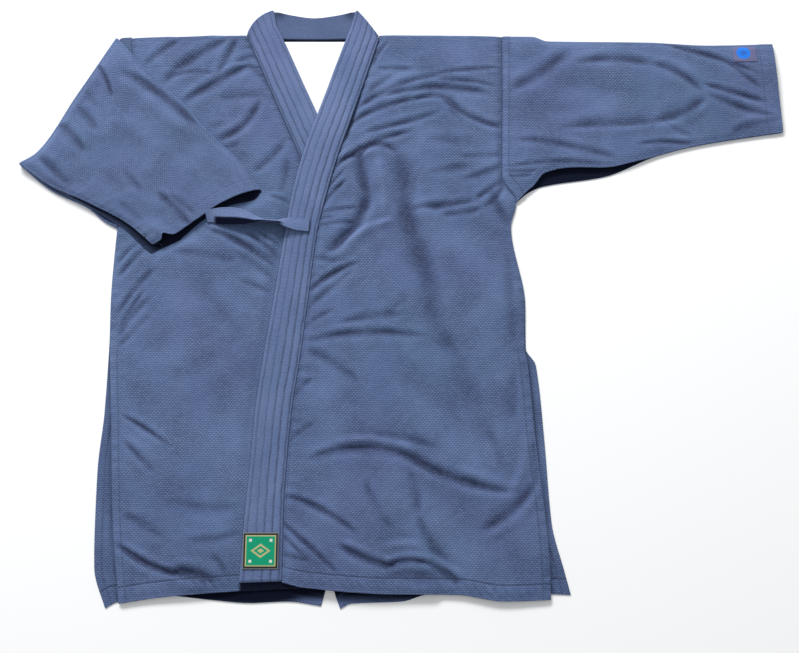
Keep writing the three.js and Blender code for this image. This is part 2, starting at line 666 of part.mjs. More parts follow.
// The tie's tape: the width turns from flat to standing on its edge and back
function tieRows() {
  const columns = 2;
  return TIE.map((row, i) => {
    const next = TIE[Math.min(i + 1, TIE.length - 1)];
    const last = TIE[Math.max(i - 1, 0)];
    const run = new THREE.Vector3(next.x - last.x, next.y - last.y, next.z - last.z).normalize();
    const flat = new THREE.Vector3(-run.y, run.x, 0).normalize();
    const lean = THREE.MathUtils.degToRad(row.lean);
    const across = flat.clone().multiplyScalar(Math.cos(lean)).add(new THREE.Vector3(0, 0, Math.sin(lean)));
    const out = run.clone().cross(across).normalize();
    const centre = new THREE.Vector3(row.x, row.y, row.z);
    return Array.from({ length: columns + 1 }, (_, k) => ({
      middle: centre.clone().addScaledVector(across, (k / columns - 0.5) * row.width),
      out,
    }));
  });
}

// A small piece sewn flat on a panel
function sewnRows({ x, y, width, depth }, steps, height) {
  return Array.from({ length: steps + 1 }, (_, j) => (
    Array.from({ length: steps + 1 }, (_unused, i) => {
      const px = x + (i / steps - 0.5) * width;
      const py = y + (j / steps - 0.5) * depth;
      return wallPoint(px, py, height(px, py));
    })
  ));
}

const fabric = (name, color) => new THREE.MeshStandardMaterial({ name, color, roughness: 0.9, metalness: 0 });
const materials = {
  cloth: fabric('indigo cloth', 0x5a6b92),
  band: fabric('indigo band', 0x55658b),
  lining: fabric('white lining', 0xf4f4f2),
  label: fabric('woven label', 0x1d6b4a),
  badge: fabric('cuff badge', 0x5c5f88),
};

const jacket = new THREE.Group();
jacket.name = 'kendo_jacket';
function addPiece(name, geometry, material) {
  const mesh = new THREE.Mesh(geometry, material);
  mesh.name = name;
  jacket.add(mesh);
}
function addWall(name, rows, thickness, material) {
  addPiece(name, wallGeometry(rows, thickness), material);
}

const backLeft = backRows(LEFT_SIDE, LEFT_BACK_HEM, 1);
const backRight = backRows(RIGHT_SIDE, RIGHT_BACK_HEM, -1);
const frontRight = frontRows(RIGHT_SIDE, RIGHT_FRONT_HEM, RIGHT_BAND, -1, rightFrontHeight);
const frontLeft = frontRows(LEFT_SIDE, LEFT_FRONT_HEM, LEFT_BAND, 1, leftFrontHeight);
const yokeLeft = yokeRows(LEFT_NECK_FOLD, LEFT_BAND, LEFT_SIDE, LEFT_SHOULDER_Y, 1, leftFrontHeight);
const yokeRight = yokeRows(RIGHT_NECK_FOLD, RIGHT_BAND, RIGHT_SIDE, RIGHT_SHOULDER_Y, -1, rightFrontHeight);
addWall('back_left', backLeft, CLOTH, materials.cloth);
addWall('back_right', backRight, CLOTH, materials.cloth);
addWall('front_right', frontRight, CLOTH, materials.cloth);
addWall('front_left', frontLeft, CLOTH, materials.cloth);
addWall('yoke_left', yokeLeft, CLOTH, materials.cloth);
addWall('yoke_right', yokeRight, CLOTH, materials.cloth);

const leftSleeve = sleeveRows({
  stations: [0, 0.06, 0.11, 0.17, 0.24, 0.32, 0.4, 0.46, 0.52, 0.6, 0.68, 0.76, 0.82, 0.88, 0.94, 1],
  underShares: sleeveShares(6).reverse(),
  overShares: sleeveShares(12),
  plan: leftSleevePlan,
  low: () => ON_FLOOR,
  high: leftSleeveHeight,
});
const rightTurned = sleeveRows({
  stations: Array.from({ length: 15 }, (_, i) => i / 14),
  underShares: [1, 0.88, 0.72, 0.52, 0.32, 0.13, 0.06],
  overShares: [0.06, 0.13, 0.22, 0.32, 0.42, 0.52, 0.62, 0.72, 0.8, 0.88, 0.94, 1],
  plan: turnedPlan,
  low: () => TURNED_LOW,
  high: turnedHeight,
});
addWall('sleeve_left', leftSleeve, CLOTH, materials.cloth);
addPiece('sleeve_right_root', rightRootGeometry(), materials.cloth);
addWall('sleeve_right_turned', rightTurned, CLOTH, materials.cloth);
addWall('collar_band', collarRows(), BAND, materials.band);
addWall('chest_tie', tieRows(), TAPE, materials.band);

// Trim lies on the cloth below it
const onTop = (top) => top + SEAM + TRIM / 2;
const liningRows = LINING.map(({ left, right, y }) => (
  [0, 0.25, 0.5, 0.75, 1].map((part) => wallPoint(mix(left, right, part), y, onTop(CLOTH)))
));
const bandTop = LEFT_BAND[LEFT_BAND.length - 1].middle + BAND / 2;
const badgeRows = [0, 0.25, 0.5, 0.75, 1].map((across) => [0, 0.25, 0.5, 0.75, 1].map((along) => {
  const u = mix(BADGE.fromShare, BADGE.toShare, along);
  const w = mix(BADGE.fromEdge, BADGE.toEdge, across);
  const place = leftSleevePlan(u, w, 'over');
  return wallPoint(place.x, place.y, onTop(leftSleeveHeight(place.x, place.y, u, w) + CLOTH / 2));
}));
addWall('neck_lining', liningRows, TRIM, materials.lining);
addWall('hem_label', sewnRows(LABEL, 3, () => onTop(bandTop)), TRIM, materials.label);
addWall('cuff_badge', badgeRows, TRIM, materials.badge);

export default jacket;
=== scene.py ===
# A kendo jacket of indigo rice-grain cotton, laid out flat on its back on a pale floor.
import math

import bmesh
import bpy
import numpy as np
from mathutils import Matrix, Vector


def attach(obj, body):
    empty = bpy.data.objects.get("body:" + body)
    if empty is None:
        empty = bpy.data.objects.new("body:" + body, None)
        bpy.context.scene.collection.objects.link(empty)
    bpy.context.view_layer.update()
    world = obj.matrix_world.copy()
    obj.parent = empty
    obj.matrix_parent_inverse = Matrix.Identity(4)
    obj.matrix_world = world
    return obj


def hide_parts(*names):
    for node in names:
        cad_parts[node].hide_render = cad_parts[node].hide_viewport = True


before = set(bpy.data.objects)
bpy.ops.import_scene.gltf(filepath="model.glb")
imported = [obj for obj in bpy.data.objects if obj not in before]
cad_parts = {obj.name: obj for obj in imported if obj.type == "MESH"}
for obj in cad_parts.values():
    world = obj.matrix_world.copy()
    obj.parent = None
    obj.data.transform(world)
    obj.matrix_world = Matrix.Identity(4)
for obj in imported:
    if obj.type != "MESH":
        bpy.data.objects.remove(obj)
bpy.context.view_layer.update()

# Sizes here are in millimetres and become metres in the meshes. +X runs towards the wearer's left
# sleeve, +Y towards the collar and +Z up off the floor.
MM = 0.001

# Driving sizes of the cloth
CLOTH = 1.5
BAND = 3.0
TRIM = 0.9
TAPE = 1.6
ON_FLOOR = 0.8
ON_BACK = 3.0
SHOULDER_Y = 416.0
LEFT_SHOULDER_Y = 414.0
RIGHT_SHOULDER_Y = 411.5
YOKE_SEAM_Y = 360.0
NECK_Y = 409.0
NECK_X = -139.0
LEAN = 0.0427
OVERLAP_RISE = 3.6
AIR_AT_SEAMS = 2.2
AIR = 4.2
GRID = 3.0
FRONT_GRID = 2.6
HEM_DEPTH = 21.0
HEM_WELT = 0.7
ARMHOLE_WELT = 13.0
SIDE_STITCH = 11.0
BAND_WIDTH = 52.0
BAND_ROWS = [(3.0, 1.0), (13.5, 0.9), (24.5, 0.8), (35.5, 0.45), (47.0, 0.6)]
ARMPIT_Y = 150.0
VENT_TOP_Y = -88.0
SLEEVE_RUN = 425.0
TURNED_RUN = 340.0
TURNED_WIDTH = 300.0
TURNED_Z = 6.4
FOLD_RISE = 1.6
# Painted shade on the inner faces of the cloth, seen at the openings
INNER_FACE_SHADE = 0.96
SEAM_STITCH = 4.5
UNLIT = (0.004, 0.005, 0.013, 1)
TIE_WIDTH = 19.0
LINING_Z = 2.3
LABEL_Z = 8.6
BADGE = 0.7
BADGE_SIZE = (37.0, 28.0)
BACK_GRID = 6.0
FINE_EDGE = (0.5, 1.2, 2.2)
# In a sleeve's own cloth: its depth, the run of the right one's root, and where its turned part starts
SLEEVE_DEPTH = 250.0
ROOT_RUN = 120.0
TURNED_START = 133.0
# Farther from a seam than any stitch reaches
FAR = 1000.0

# Centre-back vent: y, half width
VENT = [(-300, 0.15), (-430, 6), (-458, 14)]

# Body sides: y, front panel's edge, back panel's edge
LEFT_SIDE = [
    (420, 156, 156), (300, 154, 154), (179, 151, 151), (139, 172, 172), (99, 163, 163), (-20, 181, 182),
    (-88, 179, 181), (-112, 183, 195), (-219, 191, 204), (-340, 203, 211), (-408, 207, 227), (-460, 206, 240),
]
RIGHT_SIDE = [
    (420, -428, -428), (300, -419, -419), (179, -410, -410), (139, -424, -424), (98, -431, -431),
    (-5, -434, -435), (-88, -431, -433), (-180, -424, -434), (-267, -418, -439), (-340, -412, -438),
    (-404, -404, -435), (-460, -396, -416),
]
FRONT, BACK = 1, 2

# Hems: share of the way from the centre or the band to the side, y
LEFT_BACK_HEM = [(0, -458.9), (0.05, -452), (0.27, -449), (0.4, -439), (0.65, -436), (1, -440)]
RIGHT_BACK_HEM = [(0, -455), (0.16, -449), (0.33, -451), (0.5, -447), (0.72, -441), (0.94, -450), (1, -458)]
LEFT_FRONT_HEM = [(0, -423), (0.08, -430), (0.4, -439), (0.65, -440), (0.83, -449), (1, -447)]
RIGHT_FRONT_HEM = [(0, -426), (0.45, -433), (0.7, -439), (0.85, -444), (1, -452)]

# Collar band from shoulder to hem: seam x, seam y, free edge x, free edge y, middle height
LEFT_BAND = [
    (-38, 408, -80, 432, 4.95), (-45, 385, -92, 398, 4.95), (-59, 340, -107, 354, 5.1),
    (-70, 305, -118, 319, 6.9), (-81, 270, -130, 283, 8.4), (-99, 215, -148, 229, 8.4),
    (-117, 147, -166, 157, 8.2), (-129, 92, -176, 95, 6.9), (-141, -14, -191, -14, 6.3),
    (-151, -103, -204, -103, 6.3), (-161, -176, -213, -176, 6.3), (-167, -254, -218, -254, 6.3),
    (-170, -319, -223, -319, 6.3), (-170, -421, -229, -423, 6.3),
]
RIGHT_BAND = [
    (-242, 408, -200, 432, 4.95), (-232, 385, -184, 398, 4.95), (-207, 327, -160, 343, 4.95),
    (-181, 267, -133, 282, 4.95), (-157, 210, -110, 228, 3.75), (-138, 147, -89, 157, 3.6),
    (-122, 92, -74, 95, 3.6), (-100, -14, -50, -14, 3.6), (-83, -103, -30, -103, 3.6),
    (-66, -176, -14, -176, 3.6), (-54, -254, -3, -254, 3.6), (-45, -319, 8, -319, 3.6),
    (-37, -416, 22, -418, 3.6),
]
SEAM_X, SEAM_Y, FREE_X, FREE_Y, MIDDLE = range(5)
# The band behind the neck, from the wearer's left: the same columns but for its height
NECK_BAND = [
    (-60, 412, -82, 456), (-90, 410, -102, 451), (-139, 409.3, -140, 446),
    (-190, 410, -176, 451), (-222, 412, -196, 456),
]
# The folds of the band on the shoulders: seam end, free end, how far the fold bulges
LEFT_NECK_FOLD = ((-38, 416), (-71, 459), 1)
RIGHT_NECK_FOLD = ((-246, 416), (-207, 459), 8)
LEFT_PEAK, RIGHT_PEAK = (-82, 455), (-196, 455)

# Left sleeve, by share of the way from armhole to cuff: share, y
SLEEVE_TOP = [(0, 414), (0.11, 414), (0.17, 406), (0.54, 404), (0.76, 399), (1, 401)]
SLEEVE_UNDER = [(0, 139), (0.05, 156), (0.1, 165), (0.33, 181), (0.53, 215), (0.7, 233), (1, 253)]
# The slit below the arm: share, how far the front layer stands back, how far it lifts
SLEEVE_SLIT = [(0, 0, 0), (0.06, 5, 1.5), (0.11, 20, 3.2), (0.17, 22, 3.4),
               (0.4, 8, 2.8), (0.52, 0, 0), (1, 0, 0)]
CUFF_TOP_X = 581.0
CUFF_UNDER_X = 586.0

# Right sleeve, turned over onto the chest: outlines as x, y
TURN_FOLD = [(-452, 408.5), (-507, 312), (-562, 218), (-586, 202)]
TURNED_CUFF = [(-218, 158), (-272, 137), (-312, 108), (-347, 82), (-376, 70)]
TURNED_TOP = [(-446, 396), (-382, 334), (-336, 293), (-299, 248), (-258, 210), (-218, 158)]
TURNED_UNDER = [(-574, 196), (-531, 162), (-479, 137), (-417, 104), (-376, 70)]
ROOT_TOP = (-442, 410.5)
ROOT_UNDER = [(-431.3, 99), (-450, 109), (-477, 131), (-533, 158), (-586, 202)]
# How far the lower wall of the turned cuff runs on past the upper one: share across, reach
CUFF_LIP = [(0, 4), (0.1, 13), (0.3, 8), (0.5, 5), (0.75, 8), (0.88, 15), (1, 12)]
# How far the lower wall runs out past the upper one below the arm: share from fold to cuff, reach
SIDE_LIP = [(0, 0), (0.15, 0), (0.5, 4), (0.75, 8), (1, 12)]

# The chest tie from the band to its turned end: x, y, z, width, lean in degrees
TIE = [
    (-141, 100, 10.6, 19, 0), (-156, 101, 11.2, 19, 4), (-170, 103, 12.8, 18, 14),
    (-182, 104, 14.6, 16, 40), (-194, 105, 15.6, 14, 62), (-208, 106, 15.8, 14, 60),
    (-222, 107, 15.8, 18, 34), (-236, 110, 15.2, 23, 14), (-254, 113, 14.0, 27, 4),
    (-272, 114, 12.0, 26, -2), (-286, 115, 10.4, 20, -10), (-296, 113, 9.6, 15, -20),
]
# The neck lining: y, left edge, right edge
LINING = [(405, -236, -44), (350, -214, -64), (290, -186, -84), (272, -174, -90)]
LABEL_CENTRE = (-200.5, -380)
LABEL_SIZE = 50.0

# Creases: start x, y, end x, y, bow to the left of the way, width, depth. Long ones are
# joined from several bows, and a negative depth is a ridge.
LEFT_CREASES = [
    # From the neck and the upper band across the chest
    (-20, 405, -46, 360, -5, 4, 1.7), (-60, 305, -5, 350, 6, 6, 1.2), (-45, 358, 20, 357, 0, 5, 1.2),
    (-80, 283, 72, 348, 13, 5, 2.0), (45, 340, 150, 327, 3, 4, 1.8), (-40, 306, 148, 312, 17, 7, 2.8),
    (-98, 255, 60, 309, 14, 5, 2.2), (55, 310, 165, 257, -8, 5, 2.4), (64, 292, 97, 262, 3, 4, 1.0),
    (14, 303, 96, 284, 17, 5, 2.2), (-65, 250, 62, 287, -3, 5, 2.0), (-112, 185, 30, 256, 13, 5, 2.2),
    (-115, 183, -45, 226, 7, 4, 1.8), (-72, 214, -4, 214, 17, 5, 2.3), (45, 350, 160, 361, 0, 4, 1.3),
    # Short ones beside the band
    (-133, 121, -82, 175, 3, 4, 2.0), (-118, 150, -85, 190, 4, 3, 1.2), (-136, 118, -62, 127, 3, 4, 1.4),
    (-138, 109, -98, 114, 1, 3, 0.9), (-140, 100, -64, 105, 1, 4, 1.2), (-148, 55, -78, 43, -2, 5, 1.1),
    (-150, -10, -58, 46, 6, 5, 2.6), (-153, -40, -66, 36, 2, 5, 1.4), (-152, -62, -95, -28, 3, 4, 0.9),
    (-165, -165, -128, -132, 3, 5, 1.0), (-172, -232, -122, -196, 2, 4, 1.0),
    # The two valleys down the chest, with ridges between
    (-66, 238, -50, 140, -5, 9, 4.2), (-50, 160, -128, 50, 17, 9, 4.4), (-8, 222, 4, 110, 5, 17, 4.4),
    (2, 150, 54, -8, -6, 18, 4.8), (38, 36, 88, -112, -16, 18, 3.0), (80, -88, 134, -240, -4, 17, 1.6),
    (-38, 218, -28, 112, 3, 9, -2.4), (-95, 62, -8, 110, 8, 6, -2.2),
    # From the armhole
    (5, 128, 115, 142, -3, 6, 2.3), (108, 140, 168, 180, 2, 5, 2.3), (55, 117, 125, 129, -2, 5, 1.7),
    (120, 127, 156, 172, -5, 5, 1.8), (38, 184, 108, 198, 1, 6, 1.2), (30, 238, 118, 232, 3, 8, 1.1),
    (84, 211, 162, 216, 0, 5, 0.9), (88, 172, 168, 200, 1, 6, 1.6), (132, 162, 168, 96, -3, 9, 2.6),
    (158, 70, 168, -110, -2, 9, 1.3), (162, -120, 160, -200, 0, 9, 1.2),
    # Across the middle
    (-100, -54, 10, -40, 6, 6, 1.3), (-28, -40, 14, 0, -3, 7, 0.9), (-148, -80, 45, -74, 12, 6, 2.2),
    (-150, -88, -58, -145, 6, 7, 1.5),
    # Above the hem
    (-145, -256, 51, -266, 27, 7, 2.5), (-10, -240, 170, -300, -10, 7, 3.6),
    (-110, -226, 60, -252, 12, 7, -1.4),
    (-50, -218, 60, -238, 5, 6, 0.8), (-178, -300, -58, -362, 9, 5, 2.5), (-180, -333, -84, -417, 1, 4, 2.4),
    (-178, -348, -128, -396, -1, 3, 1.3), (-95, -368, -5, -403, -5, 6, 3.8), (-30, -403, 42, -399, 8, 5, 3.4),
    (25, -393, 84, -428, 3, 6, 3.6), (-30, -414, 88, -430, 8, 10, 2.8), (-40, -378, 30, -374, 4, 6, -1.4),
    (-55, -276, -10, -358, -5, 7, 1.4), (8, -262, 22, -335, 4, 9, 2.1), (20, -322, 92, -415, -14, 8, 2.2),
    (188, -212, 190, -292, 4, 7, 1.7), (193, -278, 104, -355, 10, 8, 2.9), (178, -222, 150, -306, 7, 6, -1.4),
    (120, -205, 142, -275, 5, 7, 1.0), (-183, -384, -128, -396, 2, 4, 1.4),
]
RIGHT_CREASES = [
    # Between the turned sleeve and the band
    (-412, 355, -345, 410, 3, 6, 1.8), (-388, 318, -262, 413, 9, 8, 2.8), (-372, 338, -284, 345, 9, 4, 1.0),
    (-356, 290, -226, 370, 4, 7, 2.8), (-289, 344, -258, 414, 1, 6, 2.3), (-262, 366, -222, 384, 1, 5, 1.4),
    (-246, 368, -204, 326, 3, 7, 1.6), (-292, 305, -206, 314, 2, 7, 1.2), (-302, 234, -219, 312, -18, 6, 2.8),
    (-310, 250, -272, 266, 2, 5, 0.9), (-290, 224, -246, 236, -3, 4, 1.8), (-236, 182, -178, 242, -6, 6, 1.7),
    (-262, 208, -202, 148, -2, 8, 1.8), (-178, 214, -192, 142, 6, 7, 1.4), (-206, 150, -158, 130, 2, 4, 1.5),
    # From the cuff and the tie down to the band
    (-305, 102, -180, 27, 5, 5, 2.3), (-284, 97, -178, 36, 3, 5, 1.9), (-238, 92, -172, 38, 2, 5, 2.1),
    (-216, 88, -170, 56, 2, 4, 1.3), (-262, 66, -188, 12, 3, 6, 1.2), (-352, 60, -240, 42, 3, 8, 1.4),
    (-248, 18, -188, -8, 1, 5, 1.1), (-300, 0, -236, -74, 3, 12, 0.9),
    # Fans from the side
    (-428, 16, -372, 80, 3, 5, 1.8), (-430, 36, -392, 78, 3, 4, 1.2), (-424, -40, -366, 38, 4, 5, 1.6),
    (-420, -60, -382, 2, 2, 4, 1.8), (-422, -76, -372, -6, 3, 5, 1.4), (-420, -88, -370, -34, 1, 5, 1.0),
    (-340, -140, -258, -92, 3, 12, 0.8),
    # Above the hem
    (-412, -184, -332, -234, 2, 4, 2.0), (-406, -220, -350, -274, -1, 5, 1.5),
    (-402, -326, -334, -366, 2, 7, 1.6), (-345, -306, -222, -318, -8, 8, 1.2),
    (-312, -362, -222, -348, -9, 6, 1.2), (-408, -366, -300, -414, -9, 5, 4.4),
    (-328, -404, -256, -424, 2, 8, 4.0), (-272, -384, -246, -414, 3, 5, 1.2),
]
SLEEVE_CREASES = [
    # Down from the shoulder and along the upper half
    (160, 318, 268, 394, -5, 9, 2.8), (262, 364, 400, 362, 11, 7, 2.3), (385, 367, 470, 312, 11, 7, 2.8),
    (408, 402, 560, 348, 3, 5, 2.5), (506, 368, 562, 322, 1, 5, 1.9), (462, 334, 574, 300, -1, 5, 2.2),
    (468, 318, 584, 278, -5, 6, 2.4), (245, 336, 368, 325, -8, 14, 0.8), (212, 292, 306, 292, -5, 12, 0.8),
    # Back along the lower half
    (474, 312, 380, 268, 9, 8, 2.6), (400, 270, 232, 258, 0, 8, 2.1), (500, 250, 588, 272, 3, 8, 2.0),
    (356, 232, 456, 232, 4, 4, 1.7), (404, 266, 446, 246, -1, 5, 1.2), (162, 242, 340, 204, 6, 6, 1.8),
    (152, 193, 316, 198, 8, 4, 1.4), (154, 190, 212, 192, -3, 3, 1.5), (155, 182, 204, 184, -2, 3, 1.4),
]
TURNED_CREASES = [
    (-479, 368, -449, 304, 4, 4, 2.6), (-494, 318, -470, 288, 1, 6, 1.0), (-503, 292, -466, 248, 2, 7, 1.6),
    (-538, 270, -482, 212, 5, 7, 2.2), (-556, 214, -498, 160, -3, 9, 2.2),
    (-562, 206, -508, 156, -2, 6, -1.3), (-444, 356, -300, 244, 10, 8, 2.9),
    (-448, 340, -322, 236, 5, 12, -1.8), (-424, 186, -392, 150, 1, 6, 1.3),
    (-374, 156, -312, 92, 1, 6, 2.2), (-356, 150, -308, 112, 1, 5, 1.2), (-466, 192, -412, 152, -2, 10, 0.9),
    (-450, 266, -384, 220, -4, 12, 0.9), (-430, 140, -386, 104, -2, 6, 1.0),
]


def mix(a, b, share):
    return a + (b - a) * share


def ease(share):
    share = np.clip(share, 0, 1)
    return share * share * (3 - 2 * share)


def bell(offset, width):
    return np.exp(-((offset / width) ** 2))


def unit(vectors):
    return vectors / np.linalg.norm(vectors, axis=-1, keepdims=True)


def lifted(flat, z):
    """Points x, y with their heights."""
    return np.concatenate([flat, z[..., None]], axis=-1)


def read(table, at, value, key=0):
    """A column of a table at places between its rows, on a smooth line that doesn't overshoot."""
    rows = np.array(table, float)
    rows = rows[np.argsort(rows[:, key])]
    keys, values = rows[:, key], rows[:, value]
    steps = np.diff(keys)
    rises = np.diff(values) / steps
    slopes = np.concatenate([rises[:1], np.zeros(len(keys) - 2), rises[-1:]])
    for i in range(1, len(keys) - 1):
        if rises[i - 1] * rises[i] > 0:
            slopes[i] = 2 * rises[i - 1] * rises[i] / (rises[i - 1] + rises[i])
    at = np.clip(at, keys[0], keys[-1])
    i = np.clip(np.searchsorted(keys, at, side="right") - 1, 0, len(steps) - 1)
    t = (at - keys[i]) / steps[i]
    start = (2 * t**3 - 3 * t**2 + 1) * values[i] + (t**3 - 2 * t**2 + t) * steps[i] * slopes[i]
    end = (3 * t**2 - 2 * t**3) * values[i + 1] + (t**3 - t**2) * steps[i] * slopes[i + 1]
    return start + end


def run_of(points):
    """Shares of the length of a line at each of its points, and the length."""
    lengths = np.linalg.norm(np.diff(points, axis=0), axis=1)
    run = np.concatenate([[0], np.cumsum(lengths)])
    return run / run[-1], run[-1]


def along(outline, share):
    """The points of an outline at shares of its length."""
    points = np.array(outline, float)
    table = np.column_stack([run_of(points)[0], points])
    return np.stack([read(table, share, column + 1) for column in range(points.shape[1])], axis=-1)


def near_and_far(length, step=GRID, edge=(0.9, 2.0, 3.4, 5.2)):
    """Shares of a length in even steps, with closer ones beside both ends."""
    inner = np.linspace(edge[-1], length - edge[-1], max(2, round((length - 2 * edge[-1]) / step) + 1))
    offsets = np.concatenate([[0], edge[:-1], inner, length - np.array(edge[-2::-1]), [length]])
    return offsets / length


def creased(x, y, creases, seed):
    """How far the listed creases raise or lower the cloth, and how much painted shade (troughs) or painted
    light (shoulders) each point gets.

    Each crease is a narrow trough with soft shoulders, steeper on one side, that fades at its ends."""
    rng = np.random.default_rng(seed)
    lift, fold = np.zeros_like(x), np.zeros_like(x)
    for start_x, start_y, end_x, end_y, bow, width, depth in creases:
        start, way = np.array([start_x, start_y], float), np.array([end_x - start_x, end_y - start_y], float)
        length = math.hypot(*way)
        share = np.linspace(0, 1, max(6, round(length / 2)))[:, None]
        line = start + way * share + np.array([-way[1], way[0]]) / length * bow * 4 * share * (1 - share)
        tangent = unit(np.gradient(line, axis=0))
        sway, lean = rng.uniform(0, 2 * math.pi), rng.uniform(0.72, 1.0)
        reach = 4.5 * width
        low, high = line.min(axis=0) - reach, line.max(axis=0) + reach
        near = (x > low[0]) & (x < high[0]) & (y > low[1]) & (y < high[1])
        place = np.stack([x[near], y[near]], axis=-1)
        nearest = ((place[:, None] - line) ** 2).sum(axis=2).argmin(axis=1)
        away = place - line[nearest]
        side = tangent[nearest, 0] * away[:, 1] - tangent[nearest, 1] * away[:, 0]
        part = nearest / (len(line) - 1)
        full = width * (0.58 + 0.34 * np.sin(math.pi * part))
        steep = np.where(side > 0, full * lean, full * (2 - lean))
        fade = ease(part / 0.22) * ease((1 - part) / 0.25) * bell(np.hypot(*away.T) - np.abs(side), width)
        fade *= 1 + 0.22 * np.sin(part * length / 10 + sway)
        trough = np.exp(-np.abs(side / steep) ** 1.8)
        shoulders = 0.5 * bell(side - 2.1 * steep, 1.1 * steep) + 0.35 * bell(side + 2.3 * steep, 1.4 * steep)
        lift[near] -= depth * fade * (trough - shoulders)
        # The fold mark is painted shade in the trough and painted light on its shoulders, stronger for
        # narrow, deep creases.
        tint = 1.5 * depth / width + 0.05 * depth
        fold[near] -= fade * tint * (trough - 0.5 * shoulders)
    return lift, np.clip(fold, -0.8, 0.6)


def undulation(x, y, seed, length, height):
    """Slow uneven waves of the cloth."""
    rng = np.random.default_rng(seed)
    total = np.zeros_like(x)
    bent_x = x + 0.2 * length * np.sin(y / length * 2.3)
    bent_y = y + 0.2 * length * np.sin(x / length * 1.9)
    for _ in range(9):
        angle, phase = rng.uniform(0, math.pi), rng.uniform(0, 2 * math.pi)
        wave = length * rng.uniform(0.6, 1.6)
        total += np.sin((bent_x * math.cos(angle) + bent_y * math.sin(angle)) * 2 * math.pi / wave + phase)
    return height * total / 3


def slack(x, y, seed):
    """The cloth's own waves, from broad ones to small ones."""
    broad = undulation(x, y, seed, 125, 0.9) + undulation(x, y, seed + 1, 55, 0.42)
    return broad + undulation(x, y, seed + 2, 21, 0.11)


def puckers(run, off, seed, size=0.5, reach=10.0):
    """Small gathers that a seam pulls into the cloth beside it."""
    rng = np.random.default_rng(seed)
    waves = np.zeros_like(run)
    for _ in range(5):
        waves += np.sin(run * 2 * math.pi / rng.uniform(8, 24) + rng.uniform(0, 2 * math.pi) + off * 0.05)
    off = np.abs(off)
    return size * waves / 2.2 * np.exp(-off / reach) * ease(off / 2.5)


def above(height, least=0.15, softness=0.5):
    """Keeps a height above the layer below, without a sharp bend."""
    return least + softness * np.log1p(np.exp(np.clip((height - least) / softness, -30, 30)))


def seam_x(band, y):
    return read(band, y, SEAM_X, SEAM_Y)


def free_x(band, y):
    return read(band, y, FREE_X, FREE_Y)


def turned_distance(x, y):
    """Signed distance to the turned sleeve, positive outside it."""
    corners = [TURNED_TOP[0], TURNED_CUFF[0], TURNED_CUFF[-1], TURNED_UNDER[0]]
    distance = np.full_like(x, -np.inf)
    for corner, following in zip(corners, corners[1:] + corners[:1]):
        run = unit(np.subtract(following, corner))
        distance = np.maximum(distance, (y - corner[1]) * run[0] - (x - corner[0]) * run[1])
    return distance


def air_below(edge, loose=1.0):
    """How far the cloth stands off the layer below, by the way to its nearest seam or edge."""
    return AIR_AT_SEAMS * ease(edge / 12) + (AIR - AIR_AT_SEAMS) * ease(edge / 60) * loose


def laid_front(x, y, from_hem, from_side, from_seam, base, loose, creases, seed):
    """Height and painted fold shading of a front panel or yoke that lies on the back."""
    edge = np.minimum(np.minimum(from_side, from_seam), from_hem)
    lift, folds = creased(x, y, creases, seed)
    held = mix(0.3, 1, loose)
    lift = ease(edge / 5) * lift * held + ease(edge / 40) * slack(x, y, seed + 1) * held
    lift = above(air_below(edge, loose) + lift)
    lift += puckers(y, from_side, seed + 3, 0.55) + puckers(y, from_seam, seed + 4, 0.7, 13)
    lift += puckers(x, from_hem - HEM_DEPTH, seed + 5, 0.55, 9)
    from_yoke = np.abs(y - YOKE_SEAM_Y)
    lift += puckers(x, from_yoke, seed + 6, 0.3, 8) - 0.1 * bell(from_yoke, 2.0)
    lift += HEM_WELT * ease((HEM_DEPTH - from_hem + 1.5) / 3)
    lift += (1.0 + 0.9 * np.sin(x / 31 + seed)) * ease(1 - from_hem / 34)
    rope = np.sin((x + 0.8 * from_hem) / 2.1 + 2 * np.sin(x / 47)) * (0.6 + 0.4 * np.sin(x / 29 + seed))
    rope *= ease((HEM_DEPTH - from_hem) / 5) * ease(from_hem / 4)
    lift += 0.32 * rope
    # The rope's ridges and hollows get painted light and shade as well.
    folds += 0.2 * rope
    lift -= 1.3 * bell(from_side, 2.2) + 1.5 * bell(from_seam, 2.4)
    return base + lift, folds * ease(edge / 4) * held


def left_front(x, y, from_hem):
    overlap = free_x(RIGHT_BAND, y) + 16 - x
    base = ON_BACK + OVERLAP_RISE * ease((overlap + 18) / 18)
    from_side = read(LEFT_SIDE, y, FRONT) - x
    from_seam = x - seam_x(LEFT_BAND, y)
    return laid_front(x, y, from_hem, from_side, from_seam, base, np.ones_like(x), LEFT_CREASES, 10)


def right_front(x, y, from_hem):
    from_side = x - read(RIGHT_SIDE, y, FRONT)
    from_seam = seam_x(RIGHT_BAND, y) - x
    loose = ease((free_x(LEFT_BAND, y) - 3 - x) / 16) * ease((turned_distance(x, y) - 6) / 22)
    base = ON_BACK - 0.9 * (1 - loose) * ease(from_side / 20)
    return laid_front(x, y, from_hem, from_side, from_seam, base, loose, RIGHT_CREASES, 30)


def rounded_rim(middle, ring):
    """The borders of a grid of points as index pairs, with the way out of the cloth at each."""
    rows, columns = middle.shape[:2]
    if ring:
        ends = ((0, 1), (rows - 1, rows - 2))
        return [([(row, c) for c in range(columns)], middle[row] - middle[inner]) for row, inner in ends]
    spots = [(0, c) for c in range(columns)] + [(r, columns - 1) for r in range(1, rows)]
    spots += [(rows - 1, c) for c in range(columns - 2, -1, -1)] + [(r, 0) for r in range(rows - 2, 0, -1)]
    ways = np.zeros((len(spots), 3))
    for i, (r, c) in enumerate(spots):
        inner_r, inner_c = min(max(r, 1), rows - 2), min(max(c, 1), columns - 2)
        for step in (middle[r, c] - middle[inner_r, c], middle[r, c] - middle[r, inner_c]):
            ways[i] += step / max(np.linalg.norm(step), 1e-9)
    return [(spots, ways)]


